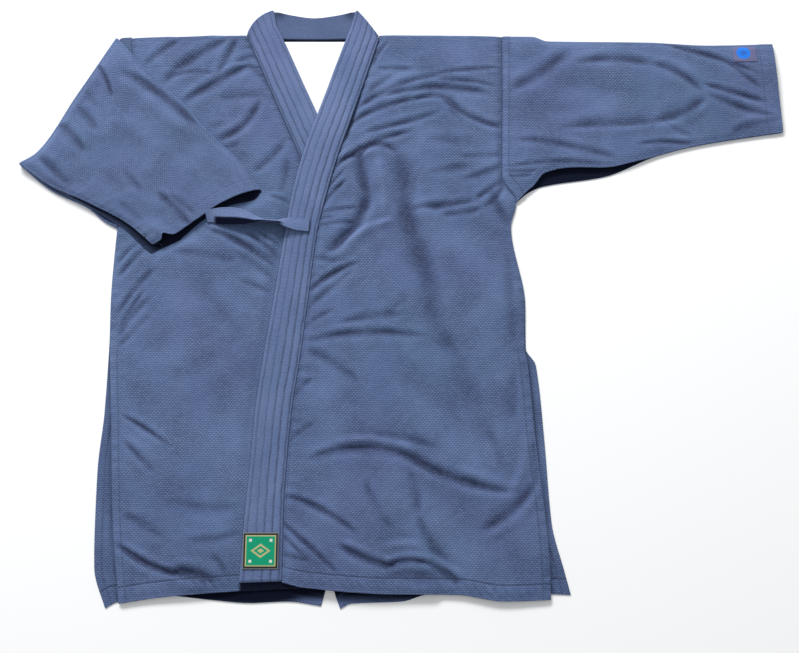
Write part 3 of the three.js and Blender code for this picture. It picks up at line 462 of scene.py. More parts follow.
def cloth_piece(name, middle, thickness, material, facing, ring=False, marks=None, weave=None, relief=None,
                inside=0.0):
    """A closed thin shell with a rounded rim round the grid of middle points, in millimetres.

    facing is 1 or -1 and turns the outer face to the right side. marks hold the values that the material
    reads, weave the place of each point in its own flat cloth, and relief what raises the outer face.
    inside is how much painted shade the inner face gets."""
    rows, columns = middle.shape[:2]
    down = np.gradient(middle, axis=0)
    if ring:
        across = np.roll(middle, -1, axis=1) - np.roll(middle, 1, axis=1)
    else:
        across = np.gradient(middle, axis=1)
    normal = np.cross(across, down) * facing
    normal /= np.maximum(np.linalg.norm(normal, axis=2, keepdims=True), 1e-9)
    raised = 0 if relief is None else relief[..., None]
    count = rows * columns
    points = [(middle + normal * (thickness / 2 + raised)).reshape(-1, 3)]
    points.append((middle - normal * thickness / 2).reshape(-1, 3))
    wide = columns if ring else columns - 1
    r, c = np.meshgrid(np.arange(rows - 1), np.arange(wide), indexing="ij")
    a, b = (r * columns + c).ravel(), (r * columns + (c + 1) % columns).ravel()
    quads = [np.column_stack([a, b, b + columns, a + columns])]
    quads.append(np.column_stack([a, a + columns, b + columns, b]) + count)
    marks = dict(marks or {})
    shade = marks.pop("shade", np.zeros((rows, columns))).ravel()
    source, shades = [np.arange(count)] * 2, [shade, np.maximum(shade, inside)]
    first = 2 * count
    for spots, ways in rounded_rim(middle, ring):
        index = np.array([row * columns + column for row, column in spots])
        ways = ways / np.maximum(np.linalg.norm(ways, axis=1, keepdims=True), 1e-9)
        points.append(middle.reshape(-1, 3)[index] + ways * thickness * 0.35)
        source.append(index)
        shades.append(shade[index] * 0.4 + inside * 0.1)
        rim = first + np.arange(len(index))
        following, next_rim = np.roll(index, -1), np.roll(rim, -1)
        quads.append(np.column_stack([index, rim, next_rim, following]))
        quads.append(np.column_stack([rim, index + count, following + count, next_rim]))
        first += len(index)
    source = np.concatenate(source)
    mesh = bpy.data.meshes.new(name)
    mesh.from_pydata((np.concatenate(points) * MM).tolist(), [], np.concatenate(quads).tolist())
    values = {title: mark.ravel()[source] for title, mark in marks.items()}
    values["shade"] = np.concatenate(shades)
    for title, value in values.items():
        mesh.attributes.new(title, "FLOAT", "POINT").data.foreach_set("value", value.astype(np.float32))
    if weave is None:
        weave = middle[..., :2]
    corners = np.empty(len(mesh.loops), np.int32)
    mesh.loops.foreach_get("vertex_index", corners)
    flat = (weave.reshape(-1, 2)[source] * MM)[corners]
    mesh.uv_layers.new(name="weave").data.foreach_set("uv", flat.astype(np.float32).ravel())
    faces = bmesh.new()
    faces.from_mesh(mesh)
    bmesh.ops.recalc_face_normals(faces, faces=faces.faces)
    faces.to_mesh(mesh)
    faces.free()
    mesh.polygons.foreach_set("use_smooth", [True] * len(mesh.polygons))
    mesh.materials.append(material)
    piece = bpy.data.objects.new(name, mesh)
    bpy.context.scene.collection.objects.link(piece)
    return piece


def cloth_marks(like, fold=0.0, shade=0.0, **distances):
    """The values that the cloth's material reads at each point, with its distances in metres."""
    marks = {"fold": fold + like * 0, "shade": shade + like * 0}
    for title in ("from_hem", "from_side", "from_seam"):
        marks[title] = np.abs(distances.get(title, FAR)) * MM + like * 0
    return marks


def seam_shade(from_band, from_arm):
    """How dark the cloth is in its seams beside the band and at the armhole."""
    return 0.6 * bell(from_band, 1.6) + 0.45 * bell(from_arm, 1.8)


def dress(piece, nodes):
    """Hides the parts of model.glb that a piece stands for and hangs the piece on the root body."""
    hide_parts(*nodes)
    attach(piece, "root")


class Value:
    """What comes out of a node. Plain arithmetic on it adds more nodes."""

    def __init__(self, nodes, socket):
        self.nodes = nodes
        self.socket = socket

    def calc(self, operation, *others):
        return self.nodes.math(operation, self, *others)

    def __add__(self, other):
        return self.calc("ADD", other)

    def __sub__(self, other):
        return self.calc("SUBTRACT", other)

    def __rsub__(self, other):
        return self.nodes.math("SUBTRACT", other, self)

    def __mul__(self, other):
        return self.calc("MULTIPLY", other)

    def __truediv__(self, other):
        return self.calc("DIVIDE", other)

    def __mod__(self, other):
        return self.calc("FLOORED_MODULO", other)


class Nodes:
    """Adds nodes to one shader tree, with plain values or what comes out of other nodes as inputs."""

    def __init__(self, tree):
        self.tree = tree

    def fill(self, sockets, inputs):
        for name, value in inputs.items():
            if isinstance(value, Value):
                self.tree.links.new(value.socket, sockets[name])
            else:
                sockets[name].default_value = value

    def place(self, kind, inputs, **settings):
        made = self.tree.nodes.new(kind)
        for name, value in settings.items():
            setattr(made, name, value)
        self.fill(made.inputs, inputs)
        return [Value(self, socket) for socket in made.outputs]

    def math(self, operation, *values):
        return self.place("ShaderNodeMath", dict(enumerate(values)), operation=operation)[0]

    def ramp(self, value, start, end):
        """0 at the start and 1 at the end, with a soft way between."""
        inputs = {"Value": value, "From Min": start, "From Max": end}
        return self.place("ShaderNodeMapRange", inputs, interpolation_type="SMOOTHSTEP")[0]

    def noise(self, place, scale, detail):
        return self.place("ShaderNodeTexNoise", {"Vector": place, "Scale": scale, "Detail": detail})[0]

    def threads(self, place, scale, direction, distortion=0.8, detail=2.0):
        inputs = {"Vector": place, "Scale": scale, "Distortion": distortion, "Detail": detail}
        return self.place("ShaderNodeTexWave", inputs, bands_direction=direction)[1]

    def mix(self, factor, first, second):
        return self.place("ShaderNodeMix", {0: factor, 6: first, 7: second}, data_type="RGBA")[2]

    def coat(self, color, *coats):
        """Lays colours over a first one, each by a mask and a strength."""
        for mask, strength, over in coats:
            color = self.mix(mask * strength, color, over)
        return color

    def attribute(self, name):
        return self.place("ShaderNodeAttribute", {}, attribute_name=name)[2]

    def split(self, place):
        return self.place("ShaderNodeSeparateXYZ", {0: place})[:2]

    def group(self, tree, inputs):
        return self.place("ShaderNodeGroup", inputs, node_tree=tree)


def new_group(name, inputs, outputs):
    """An empty shader node group: its nodes, its inputs by name, and the sockets of its outputs."""
    tree = bpy.data.node_groups.new(name, "ShaderNodeTree")
    for title, value in inputs.items():
        if value is None:
            kind = "NodeSocketVector"
        else:
            kind = "NodeSocketColor" if isinstance(value, tuple) else "NodeSocketFloat"
        socket = tree.interface.new_socket(title, in_out="INPUT", socket_type=kind)
        if value is not None:
            socket.default_value = value
    for title in outputs:
        kind = "NodeSocketColor" if title == "Color" else "NodeSocketFloat"
        tree.interface.new_socket(title, in_out="OUTPUT", socket_type=kind)
    nodes = Nodes(tree)
    given = {value.socket.name: value for value in nodes.place("NodeGroupInput", {})}
    return nodes, given, tree.nodes.new("NodeGroupOutput").inputs


def rice_grain_group():
    """Raised grains in rows, each row half a grain on from the last, no two quite alike."""
    sizes = {"Place": None, "Grain Width": 0.0049, "Row Height": 0.0027, "Wander": 1.5}
    nodes, given, result = new_group("Rice grain weave", sizes, ["Grain", "Speck"])
    x, y = nodes.split(given["Place"])
    shift = (nodes.noise(given["Place"], 55.0, 1.5) - 0.5) * given["Wander"]
    row = y / given["Row Height"] + shift
    column = x / given["Grain Width"] + shift + row.calc("FLOOR") % 2.0 * 0.5
    across = column.calc("FRACT") - 0.5
    up = row.calc("FRACT") - 0.5
    spread = across * across * 4.4 + up * up * 3.4
    cell = nodes.place("ShaderNodeCombineXYZ", {0: column.calc("FLOOR"), 1: row.calc("FLOOR")})[0]
    speck = nodes.place("ShaderNodeTexWhiteNoise", {"Vector": cell})[0]
    nodes.fill(result, {"Grain": nodes.ramp(spread, 1.0, 0.12) * (speck * 0.5 + 0.5), "Speck": speck})
    return nodes.tree


def stitch_group():
    """One row of stitches at an offset from an edge: the thread, and the groove that it pulls."""
    sizes = {
        "Distance": 0.0, "Run": 0.0, "Offset": 0.02, "Stitch Length": 0.0038, "Thread Width": 0.0008,
        "Groove Width": 0.0024, "Strength": 1.0,
    }
    nodes, given, result = new_group("Stitched row", sizes, ["Thread", "Groove"])
    off = (given["Distance"] - given["Offset"]).calc("ABSOLUTE")
    line = nodes.ramp(off, given["Thread Width"], given["Thread Width"] * 0.4)
    beat = (given["Run"] / given["Stitch Length"]).calc("FRACT")
    dash = nodes.ramp((beat - 0.5).calc("ABSOLUTE"), 0.4, 0.28)
    groove = nodes.ramp(off, given["Groove Width"], 0.0)
    nodes.fill(result, {"Thread": line * dash * given["Strength"], "Groove": groove * given["Strength"]})
    return nodes.tree


def dye_and_fold_shading_group():
    """Dyed cotton: cloudy fading and drifts of a greener and a redder blue, with painted light on the ridges
    of folds and painted shade in their troughs.
    """
    tones = {
        "Place": None, "Dye": (0.1, 0.15, 0.3, 1), "Painted Trough Shade": (0.05, 0.07, 0.15, 1),
        "Faded Dye And Painted Ridge Light": (0.13, 0.19, 0.34, 1), "Green Drift": (0.08, 0.15, 0.26, 1),
        "Red Drift": (0.13, 0.14, 0.3, 1), "Painted Fold Shading": 0.0,
    }
    nodes, given, result = new_group("Faded dye and painted fold shading", tones, ["Color"])
    clouds = nodes.noise(given["Place"], 11.0, 4.0)
    specks = nodes.noise(given["Place"], 240.0, 2.0)
    # pale is random fading plus painted light on ridges; trough is painted shade in the troughs of folds
    pale = given["Painted Fold Shading"].calc("MAXIMUM", 0.0) * 0.7 + nodes.ramp(specks * 0.4 + clouds, 0.5, 0.92)
    trough = (given["Painted Fold Shading"] * -1.0).calc("MAXIMUM", 0.0)
    drift = nodes.noise(given["Place"], 5.0, 2.0)
    color = nodes.coat(
        given["Dye"],
        (pale.calc("MINIMUM", 1.0), 1.0, given["Faded Dye And Painted Ridge Light"]),
        (nodes.ramp(drift, 0.5, 0.66), 0.4, given["Green Drift"]),
        (nodes.ramp(drift, 0.48, 0.34), 0.4, given["Red Drift"]),
        (trough.calc("MINIMUM", 1.0), 1.0, given["Painted Trough Shade"]))
    nodes.fill(result, {"Color": color})
    return nodes.tree


def new_material(name, roughness, sheen=0.0, specular=0.3):
    """A material, its nodes, its shader and the place of each point in the flat cloth."""
    material = bpy.data.materials.new(name)
    material.use_nodes = True
    nodes = Nodes(material.node_tree)
    shader = material.node_tree.nodes["Principled BSDF"].inputs
    nodes.fill(shader, {
        "Roughness": roughness, "Specular IOR Level": specular, "Sheen Weight": sheen,
        "Sheen Roughness": 0.45, "Sheen Tint": (0.6, 0.7, 1.0, 1),
    })
    return material, nodes, shader, nodes.place("ShaderNodeUVMap", {}, uv_map="weave")[0]


def lay_surface(nodes, shader, color, height, distance, strength=1.0):
    inputs = {"Height": height, "Strength": strength, "Distance": distance}
    nodes.fill(shader, {"Base Color": color, "Normal": nodes.place("ShaderNodeBump", inputs)[0]})


def stitched_rows(nodes, row_group, rows, **sizes):
    """The threads and the grooves of several rows: distance, run, offset and strength of each."""
    thread, groove = 0.0, 0.0
    for distance, run, offset, strength in rows:
        inputs = {"Distance": distance, "Run": run, "Offset": offset * MM, "Strength": strength, **sizes}
        row_thread, row_groove = nodes.group(row_group, inputs)
        thread = row_thread.calc("MAXIMUM", thread)
        groove = row_groove.calc("MAXIMUM", groove)
    return thread, groove


def shaded(nodes, shader, color):
    """Darkens what light doesn't reach, and takes its sheen away."""
    shade = nodes.attribute("shade")
    lit = 1.0 - shade
    nodes.fill(shader, {
        name: lit * shader[name].default_value for name in ("Sheen Weight", "Specular IOR Level")})
    return nodes.mix(shade, color, UNLIT)


def indigo_cloth(weave_group, row_group, dye_and_shading_group):
    material, nodes, shader, place = new_material("indigo rice grain cotton", 0.86, 0.22)
    grain, speck = nodes.group(weave_group, {"Place": place})
    x, y = nodes.split(place)
    thread, groove = stitched_rows(nodes, row_group, [
        (nodes.attribute("from_hem"), x, HEM_DEPTH, 0.85),
        (nodes.attribute("from_side"), y, SIDE_STITCH, 0.42),
        (nodes.attribute("from_seam"), y, SEAM_STITCH, 0.34),
    ])
    fold = nodes.attribute("fold")
    dyed = nodes.group(dye_and_shading_group, {
        "Place": place, "Dye": (0.092, 0.146, 0.302, 1), "Painted Trough Shade": (0.024, 0.036, 0.11, 1),
        "Faded Dye And Painted Ridge Light": (0.131, 0.198, 0.38, 1), "Green Drift": (0.082, 0.158, 0.29, 1),
        "Red Drift": (0.11, 0.14, 0.31, 1), "Painted Fold Shading": fold,
    })[0]
    patchy = nodes.ramp(nodes.noise(place, 16.0, 3.0), 0.35, 0.7)
    # Darker gaps between the grains, patchy, with painted shade making them darker still in the troughs of
    # creases
    gap_and_trough_shade = fold.calc("MINIMUM", 0.0) * -0.5 + (patchy * 0.34 + 0.29)
    color = nodes.coat(
        dyed,
        (1.0 - grain, gap_and_trough_shade, (0.018, 0.026, 0.065, 1)),
        (speck, 0.12, (0.19, 0.245, 0.4, 1)),
        # the groove's colour is painted shade in the stitch grooves
        (groove, 0.5, (0.03, 0.042, 0.1, 1)),
        (thread, 0.6, (0.016, 0.022, 0.055, 1)))
    height = groove * -1.6 + (nodes.noise(place, 900.0, 2.0) * 0.25 + grain) + thread * 0.7
    lay_surface(nodes, shader, shaded(nodes, shader, color), height, 0.0007)
    return material


def indigo_band(row_group, dye_and_shading_group):
    """Plain-woven cotton with rows of stitches along the band."""
    material, nodes, shader, place = new_material("indigo band cotton", 0.84, 0.2)
    y = nodes.split(place)[1]
    across = nodes.attribute("across") + (nodes.noise(place, 45.0, 2.0) * 0.0036 + -0.0018)
    thread, groove = stitched_rows(
        nodes, row_group, [(across, y, offset, strength) for offset, strength in BAND_ROWS],
        **{"Stitch Length": 0.0044, "Groove Width": 0.0026})
    thread = thread * nodes.ramp(nodes.noise(place, 70.0, 2.0), 0.3, 0.58)
    dyed = nodes.group(dye_and_shading_group, {
        "Place": place, "Dye": (0.095, 0.147, 0.302, 1), "Painted Trough Shade": (0.024, 0.035, 0.1, 1),
        "Faded Dye And Painted Ridge Light": (0.142, 0.2, 0.38, 1), "Green Drift": (0.09, 0.152, 0.295, 1),
        "Red Drift": (0.118, 0.138, 0.31, 1), "Painted Fold Shading": nodes.attribute("fold"),
    })[0]
    weave = nodes.threads(place, 190.0, "X", 1.2, 1.0) * nodes.threads(place, 150.0, "Y", 1.2, 1.0)
    mottle = nodes.ramp(nodes.noise(place, 420.0, 3.0), 0.4, 0.62)
    color = nodes.coat(
        dyed,
        (1.0 - weave, 0.22, (0.03, 0.042, 0.1, 1)),
        (mottle, 0.2, (0.19, 0.25, 0.4, 1)),
        # the groove's colour is painted shade in the stitch grooves
        (groove, 0.4, (0.03, 0.042, 0.1, 1)),
        (thread, 0.8, (0.014, 0.02, 0.05, 1)))
    height = groove * -1.2 + (mottle * 0.3 + weave * 0.4)
    lay_surface(nodes, shader, shaded(nodes, shader, color), height, 0.0006)
    return material


def white_lining():
    material, nodes, shader, place = new_material("white cotton lining", 0.9, 0.1)
    shader["Sheen Tint"].default_value = (1, 1, 1, 1)
    weave = nodes.threads(place, 300.0, "X") * nodes.threads(place, 300.0, "Y")
    tone = nodes.noise(place, 14.0, 3.0) * 0.5 + weave * 0.5
    color = nodes.mix(tone, (0.88, 0.88, 0.86, 1), (0.97, 0.97, 0.96, 1))
    lay_surface(nodes, shader, color, weave, 0.0002, 0.5)
    return material


def square_mask(nodes, x, y, half, soft=0.0004):
    """1 inside a square round the origin of x and y, 0 outside it."""
    sides = [nodes.ramp(value.calc("ABSOLUTE"), half + soft, half - soft) for value in (x, y)]
    return sides[0] * sides[1]


def lozenge_mask(nodes, x, y, half_width, half_depth, soft=0.05):
    reach = x.calc("ABSOLUTE") / half_width + y.calc("ABSOLUTE") / half_depth
    return nodes.ramp(reach, 1 + soft, 1 - soft)


def woven_label():
    """Green satin in a dark border with a gold line, a plain lozenge, and a small square in each corner."""
    material, nodes, shader, place = new_material("green woven label", 0.6, 0.0, 0.15)
    x, y = nodes.split(place)
    half = LABEL_SIZE * MM / 2
    gold = (0.55, 0.5, 0.24, 1)
    corner = [value.calc("ABSOLUTE") - half * 0.58 for value in (x, y)]
    outer, inner, heart = [
        lozenge_mask(nodes, x, y, half * width, half * depth)
        for width, depth in ((0.56, 0.4), (0.4, 0.27), (0.2, 0.13))
    ]
    threads = nodes.threads(place, 520.0, "Y")
    color = nodes.coat(
        (0.2, 0.22, 0.22, 1),
        (square_mask(nodes, x, y, half * 0.96), 1.0, (0.01, 0.016, 0.02, 1)),
        (square_mask(nodes, x, y, half * 0.86), 1.0, gold),
        (square_mask(nodes, x, y, half * 0.8), 1.0, (0.0, 0.34, 0.175, 1)),
        ((outer - inner).calc("MAXIMUM", heart), 1.0, gold),
        (square_mask(nodes, *corner, half * 0.08), 1.0, (0.75, 0.78, 0.72, 1)),
        (threads, 0.2, (0.01, 0.02, 0.015, 1)))
    lay_surface(nodes, shader, color, threads, 0.0002, 0.5)
    return material


def woven_badge():
    """A slate badge with a plain blue disc."""
    material, nodes, shader, place = new_material("slate woven badge", 0.7, 0.1, 0.3)
    x, y = nodes.split(place)
    x = x + 0.0025
    y = y - 0.0018
    radius = (x * x + y * y).calc("SQRT")
    threads = nodes.threads(place, 420.0, "Y")
    color = nodes.coat(
        (0.14, 0.145, 0.28, 1),
        (nodes.ramp(radius, 0.0116, 0.0106), 1.0, (0.008, 0.2, 0.82, 1)),
        (nodes.ramp(radius, 0.0052, 0.0042), 0.45, (0.03, 0.07, 0.3, 1)),
        (threads, 0.2, (0.02, 0.025, 0.07, 1)))
    lay_surface(nodes, shader, color, threads, 0.0002, 0.5)
    return material


def front_hem_y(x):
    """How low the fronts reach at a place across the back."""
    left_start, left_end = seam_x(LEFT_BAND, -421), LEFT_SIDE[-1][FRONT]
    right_start, right_end = seam_x(RIGHT_BAND, -416), RIGHT_SIDE[-1][FRONT]
    left = read(LEFT_FRONT_HEM, np.clip((x - left_start) / (left_end - left_start), 0, 1), 1)
    right = read(RIGHT_FRONT_HEM, np.clip((right_start - x) / (right_start - right_end), 0, 1), 1)
    return np.where(x < free_x(LEFT_BAND, -421), right, np.minimum(left, right))


def panel_grid(hem, top, inner, outer, step):
    """Points x, y of a flat panel from its hem up to its top, with the height of each over the hem."""
    width = abs(float(np.mean(outer(np.array([0.0, -300.0])) - inner(np.array([0.0, -300.0])))))
    shares = near_and_far(top - float(read(hem, 0.5, 1)), step)
    u = near_and_far(width, step)
    hem_y = read(hem, u, 1)
    y = mix(hem_y[None, :], top, shares[:, None])
    x = mix(inner(y), outer(y), u[None, :])
    return x, y, y - hem_y[None, :]


def back_panel(name, side, hem, way, cloth):
    """One half of the back, whose inner face shows beyond the fronts and lies in their shadow."""
    x, y, from_hem = panel_grid(
        hem, NECK_Y - 0.3,
        lambda y: NECK_X + (NECK_Y - y) * LEAN + way * read(VENT, y, 1),
        lambda y: read(side, y, BACK) - way * 0.4,
        BACK_GRID,
    )
    middle = np.stack([x, y, np.full_like(x, ON_FLOOR)], axis=-1)
    from_side = read(side, y, BACK) - x
    # Painted shadow below the fronts' hems, beside their side edges and under the neck band, over a slight
    # painted shade on the whole back
    below_band = 15 + 13 * bell(x + 195, 75)
    shadowed = ease((y - front_hem_y(x) + below_band) / 13)
    past_front = (x - read(side, y, FRONT)) * way
    shadowed = np.maximum(shadowed * ease(-past_front / 14), ease((y - NECK_Y + 8) / 4))
    shade = 0.08 + 0.9 * np.maximum(shadowed, 0.45 * bell(past_front - 1, 4))
    piece = cloth_piece(
        name + "_cloth", middle, CLOTH, cloth, facing=way,
        marks=cloth_marks(x, from_hem=from_hem, from_side=from_side, shade=shade))
    dress(piece, [name])


def front_panel(name, side, hem, band, way, height, cloth):
    x, y, from_hem = panel_grid(
        hem, YOKE_SEAM_Y - 0.15,
        lambda y: seam_x(band, y) + way * 0.4,
        lambda y: read(side, y, FRONT),
        FRONT_GRID,
    )
    z, folds = height(x, y, from_hem)
    from_side = np.abs(read(side, y, FRONT) - x)
    from_band = np.abs(x - seam_x(band, y))
    from_armhole = from_side + FAR * ease((ARMPIT_Y - y) / 20)
    shade = seam_shade(from_band, from_armhole)
    # Painted shadow on the right front where it runs under the left band's free edge
    if way < 0:
        shade = np.maximum(shade, 0.97 * ease((x - free_x(LEFT_BAND, y) + 3) / 5))
    marks = cloth_marks(
        x, fold=folds, shade=shade, from_hem=from_hem,
        from_side=from_side + FAR * ease((y - VENT_TOP_Y) / 8),
        from_seam=np.minimum(from_band, from_armhole))
    middle = np.stack([x, y, z], axis=-1)
    piece = cloth_piece(name + "_cloth", middle, CLOTH, cloth, facing=way, marks=marks, inside=INNER_FACE_SHADE)
    dress(piece, [name])


def half_turn(edge, inward, low, high, thickness, steps=10):
    """Points round a fold from the layer below to the layer above, for each point of the fold's outline."""
    radius = (high - low) / 2
    turn = np.linspace(-math.pi / 2, math.pi / 2, steps)
    offset = thickness / 2 + radius[..., None] - radius[..., None] * np.cos(turn)
    flat = edge[..., None, :] + inward[..., None, :] * offset[..., None]
    z = (low + radius)[..., None] + radius[..., None] * np.sin(turn)
    return lifted(flat, z)


def yoke(name, fold_corner, band, side, shoulder_outer_y, way, height, cloth):
    """The strip over one shoulder, from the back's top edge over the fold to the seam across the chest."""
    outer_x = float(read(side, SHOULDER_Y, FRONT))
    u = near_and_far(abs(outer_x - fold_corner[0]))
    fold_x = mix(fold_corner[0] + way * 0.6, outer_x, u)
    fold_y = mix(SHOULDER_Y, shoulder_outer_y, u)
    high, _ = height(fold_x, fold_y - 8, np.full_like(u, FAR))
    low = np.full_like(u, ON_FLOOR)
    fold = np.stack([fold_x, fold_y], axis=-1)
    turn = half_turn(fold, np.tile([0.0, -1.0], (len(u), 1)), low, high, CLOTH)
    under = np.stack([fold_x, np.full_like(u, NECK_Y), low], axis=-1)
    start = turn[:, -1, 1]
    shares = near_and_far(SHOULDER_Y - YOKE_SEAM_Y, FRONT_GRID)[1:]
    y = mix(start[:, None], YOKE_SEAM_Y + 0.15, shares[None, :])
    x = mix(seam_x(band, y) + way * 0.4, read(side, y, FRONT), u[:, None])
    z, folds = height(x, y, np.full_like(x, FAR))
    blend = ease((start[:, None] - y) / 9)
    over = np.stack([x, y, mix(high[:, None], z, blend)], axis=-1)
    middle = np.concatenate([under[:, None], turn, over], axis=1)
    # Painted fold shading: shade in crease troughs, light on their shoulders
    painted_yoke_fold_shade = np.concatenate([np.zeros((len(u), 1 + turn.shape[1])), folds * blend], axis=1)
    x, y = middle[..., 0], middle[..., 1]
    from_band, from_arm = np.abs(x - seam_x(band, y)), np.abs(x - read(side, y, FRONT))
    marks = cloth_marks(
        x, fold=painted_yoke_fold_shade, shade=seam_shade(from_band, from_arm), from_seam=np.minimum(from_band, from_arm))
    piece = cloth_piece(name + "_cloth", middle, CLOTH, cloth, facing=way, marks=marks, inside=INNER_FACE_SHADE)
    dress(piece, [name])


def left_sleeve_plan(u, w, over):
    """Places of the sleeve from armhole to cuff, u, and from its top fold to the seam below, w."""
    top = read(SLEEVE_TOP, u, 1)
    under = read(SLEEVE_UNDER, u, 1) + (read(SLEEVE_SLIT, u, 1) if over else 0)
    arm_y = mix(SLEEVE_TOP[0][1], SLEEVE_UNDER[0][1], w)
    arm_x = read(LEFT_SIDE, arm_y, FRONT) + 0.3
    return mix(arm_x, mix(CUFF_TOP_X, CUFF_UNDER_X, w), u), mix(top, under, w)


def left_sleeve_over(u, w):
    """Places, heights and painted fold shading of the sleeve's front layer."""
    x, y = left_sleeve_plan(u, w, True)
    from_arm, from_cuff = u * SLEEVE_RUN, (1 - u) * SLEEVE_RUN
    across = read(SLEEVE_TOP, u, 1) - read(SLEEVE_UNDER, u, 1)
    from_top, from_under = w * across, (1 - w) * across
    edge = np.minimum(np.minimum(from_arm, from_top), from_under)
    lift, folds = creased(x, y, SLEEVE_CREASES, 50)
    lift = above(air_below(edge) + ease(edge / 5) * lift + ease(edge / 40) * slack(x, y, 51))
    lift += read(SLEEVE_SLIT, u, 2) * ease((w - 0.6) / 0.4)
    lift += puckers(y, from_arm, 53, 0.6, 14) + puckers(y, from_cuff - HEM_DEPTH, 54, 0.4, 8)
    lift += 0.6 * ease((ARMHOLE_WELT - from_arm + 1.5) / 3) - 1.3 * bell(from_arm, 2.0)
    lift += 0.5 * ease((HEM_DEPTH - from_cuff + 1.5) / 3) - 0.3 * bell(from_under, 4) * ease((u - 0.5) / 0.05)
    return x, y, ON_BACK + lift, folds * ease(edge / 4)


def left_sleeve(cloth):
    """A flattened tube, laid flat below, round the fold at the top edge and creased above."""
    u = near_and_far(SLEEVE_RUN)
    uu, ww = np.meshgrid(u, near_and_far(SLEEVE_DEPTH, BACK_GRID)[::-1], indexing="ij")
    x, y = left_sleeve_plan(uu, ww, False)
    under = np.stack([x, y, np.full_like(x, ON_FLOOR)], axis=-1)
    edge = np.stack(left_sleeve_plan(u, u * 0, True), axis=-1)
    inward = unit(np.stack(left_sleeve_plan(u, u * 0 + 0.2, True), axis=-1) - edge)
    uu, ww = np.meshgrid(u, near_and_far(SLEEVE_DEPTH)[1:], indexing="ij")
    x, y, z, folds = left_sleeve_over(uu, ww)
    turn = half_turn(edge, inward, np.full_like(u, ON_FLOOR), np.full_like(u, ON_BACK), CLOTH)
    under[:, -1, :] = mix(under[:, -2, :], turn[:, 0, :], 0.6)
    middle = np.concatenate([under, turn, np.stack([x, y, z], axis=-1)], axis=1)
    hidden = under.shape[1] + turn.shape[1]
    from_arm = np.repeat((u * SLEEVE_RUN)[:, None], middle.shape[1], axis=1)
    marks = cloth_marks(
        from_arm, fold=np.concatenate([np.zeros((len(u), hidden)), folds], axis=1),
        shade=0.45 * bell(from_arm, 1.8), from_side=from_arm,
        from_seam=np.maximum(SLEEVE_RUN - from_arm - HEM_DEPTH + SEAM_STITCH, 0))
    piece = cloth_piece("sleeve_left_cloth", middle, CLOTH, cloth, facing=1, marks=marks, inside=INNER_FACE_SHADE)
    dress(piece, ["sleeve_left"])


def patch(start, end, near, far, u, w):
    """A point of the surface between four outlines."""
    place = along(start, w) * (1 - u)[..., None] + along(end, w) * u[..., None]
    place = place + along(near, u) * (1 - w)[..., None] + along(far, u) * w[..., None]
    first, last = np.array(start, float), np.array(end, float)
    weights = [
        (first[0], (1 - u) * (1 - w)), (first[-1], (1 - u) * w), (last[0], u * (1 - w)), (last[-1], u * w),
    ]
    for corner, weight in weights:
        place = place - corner * weight[..., None]
    return place


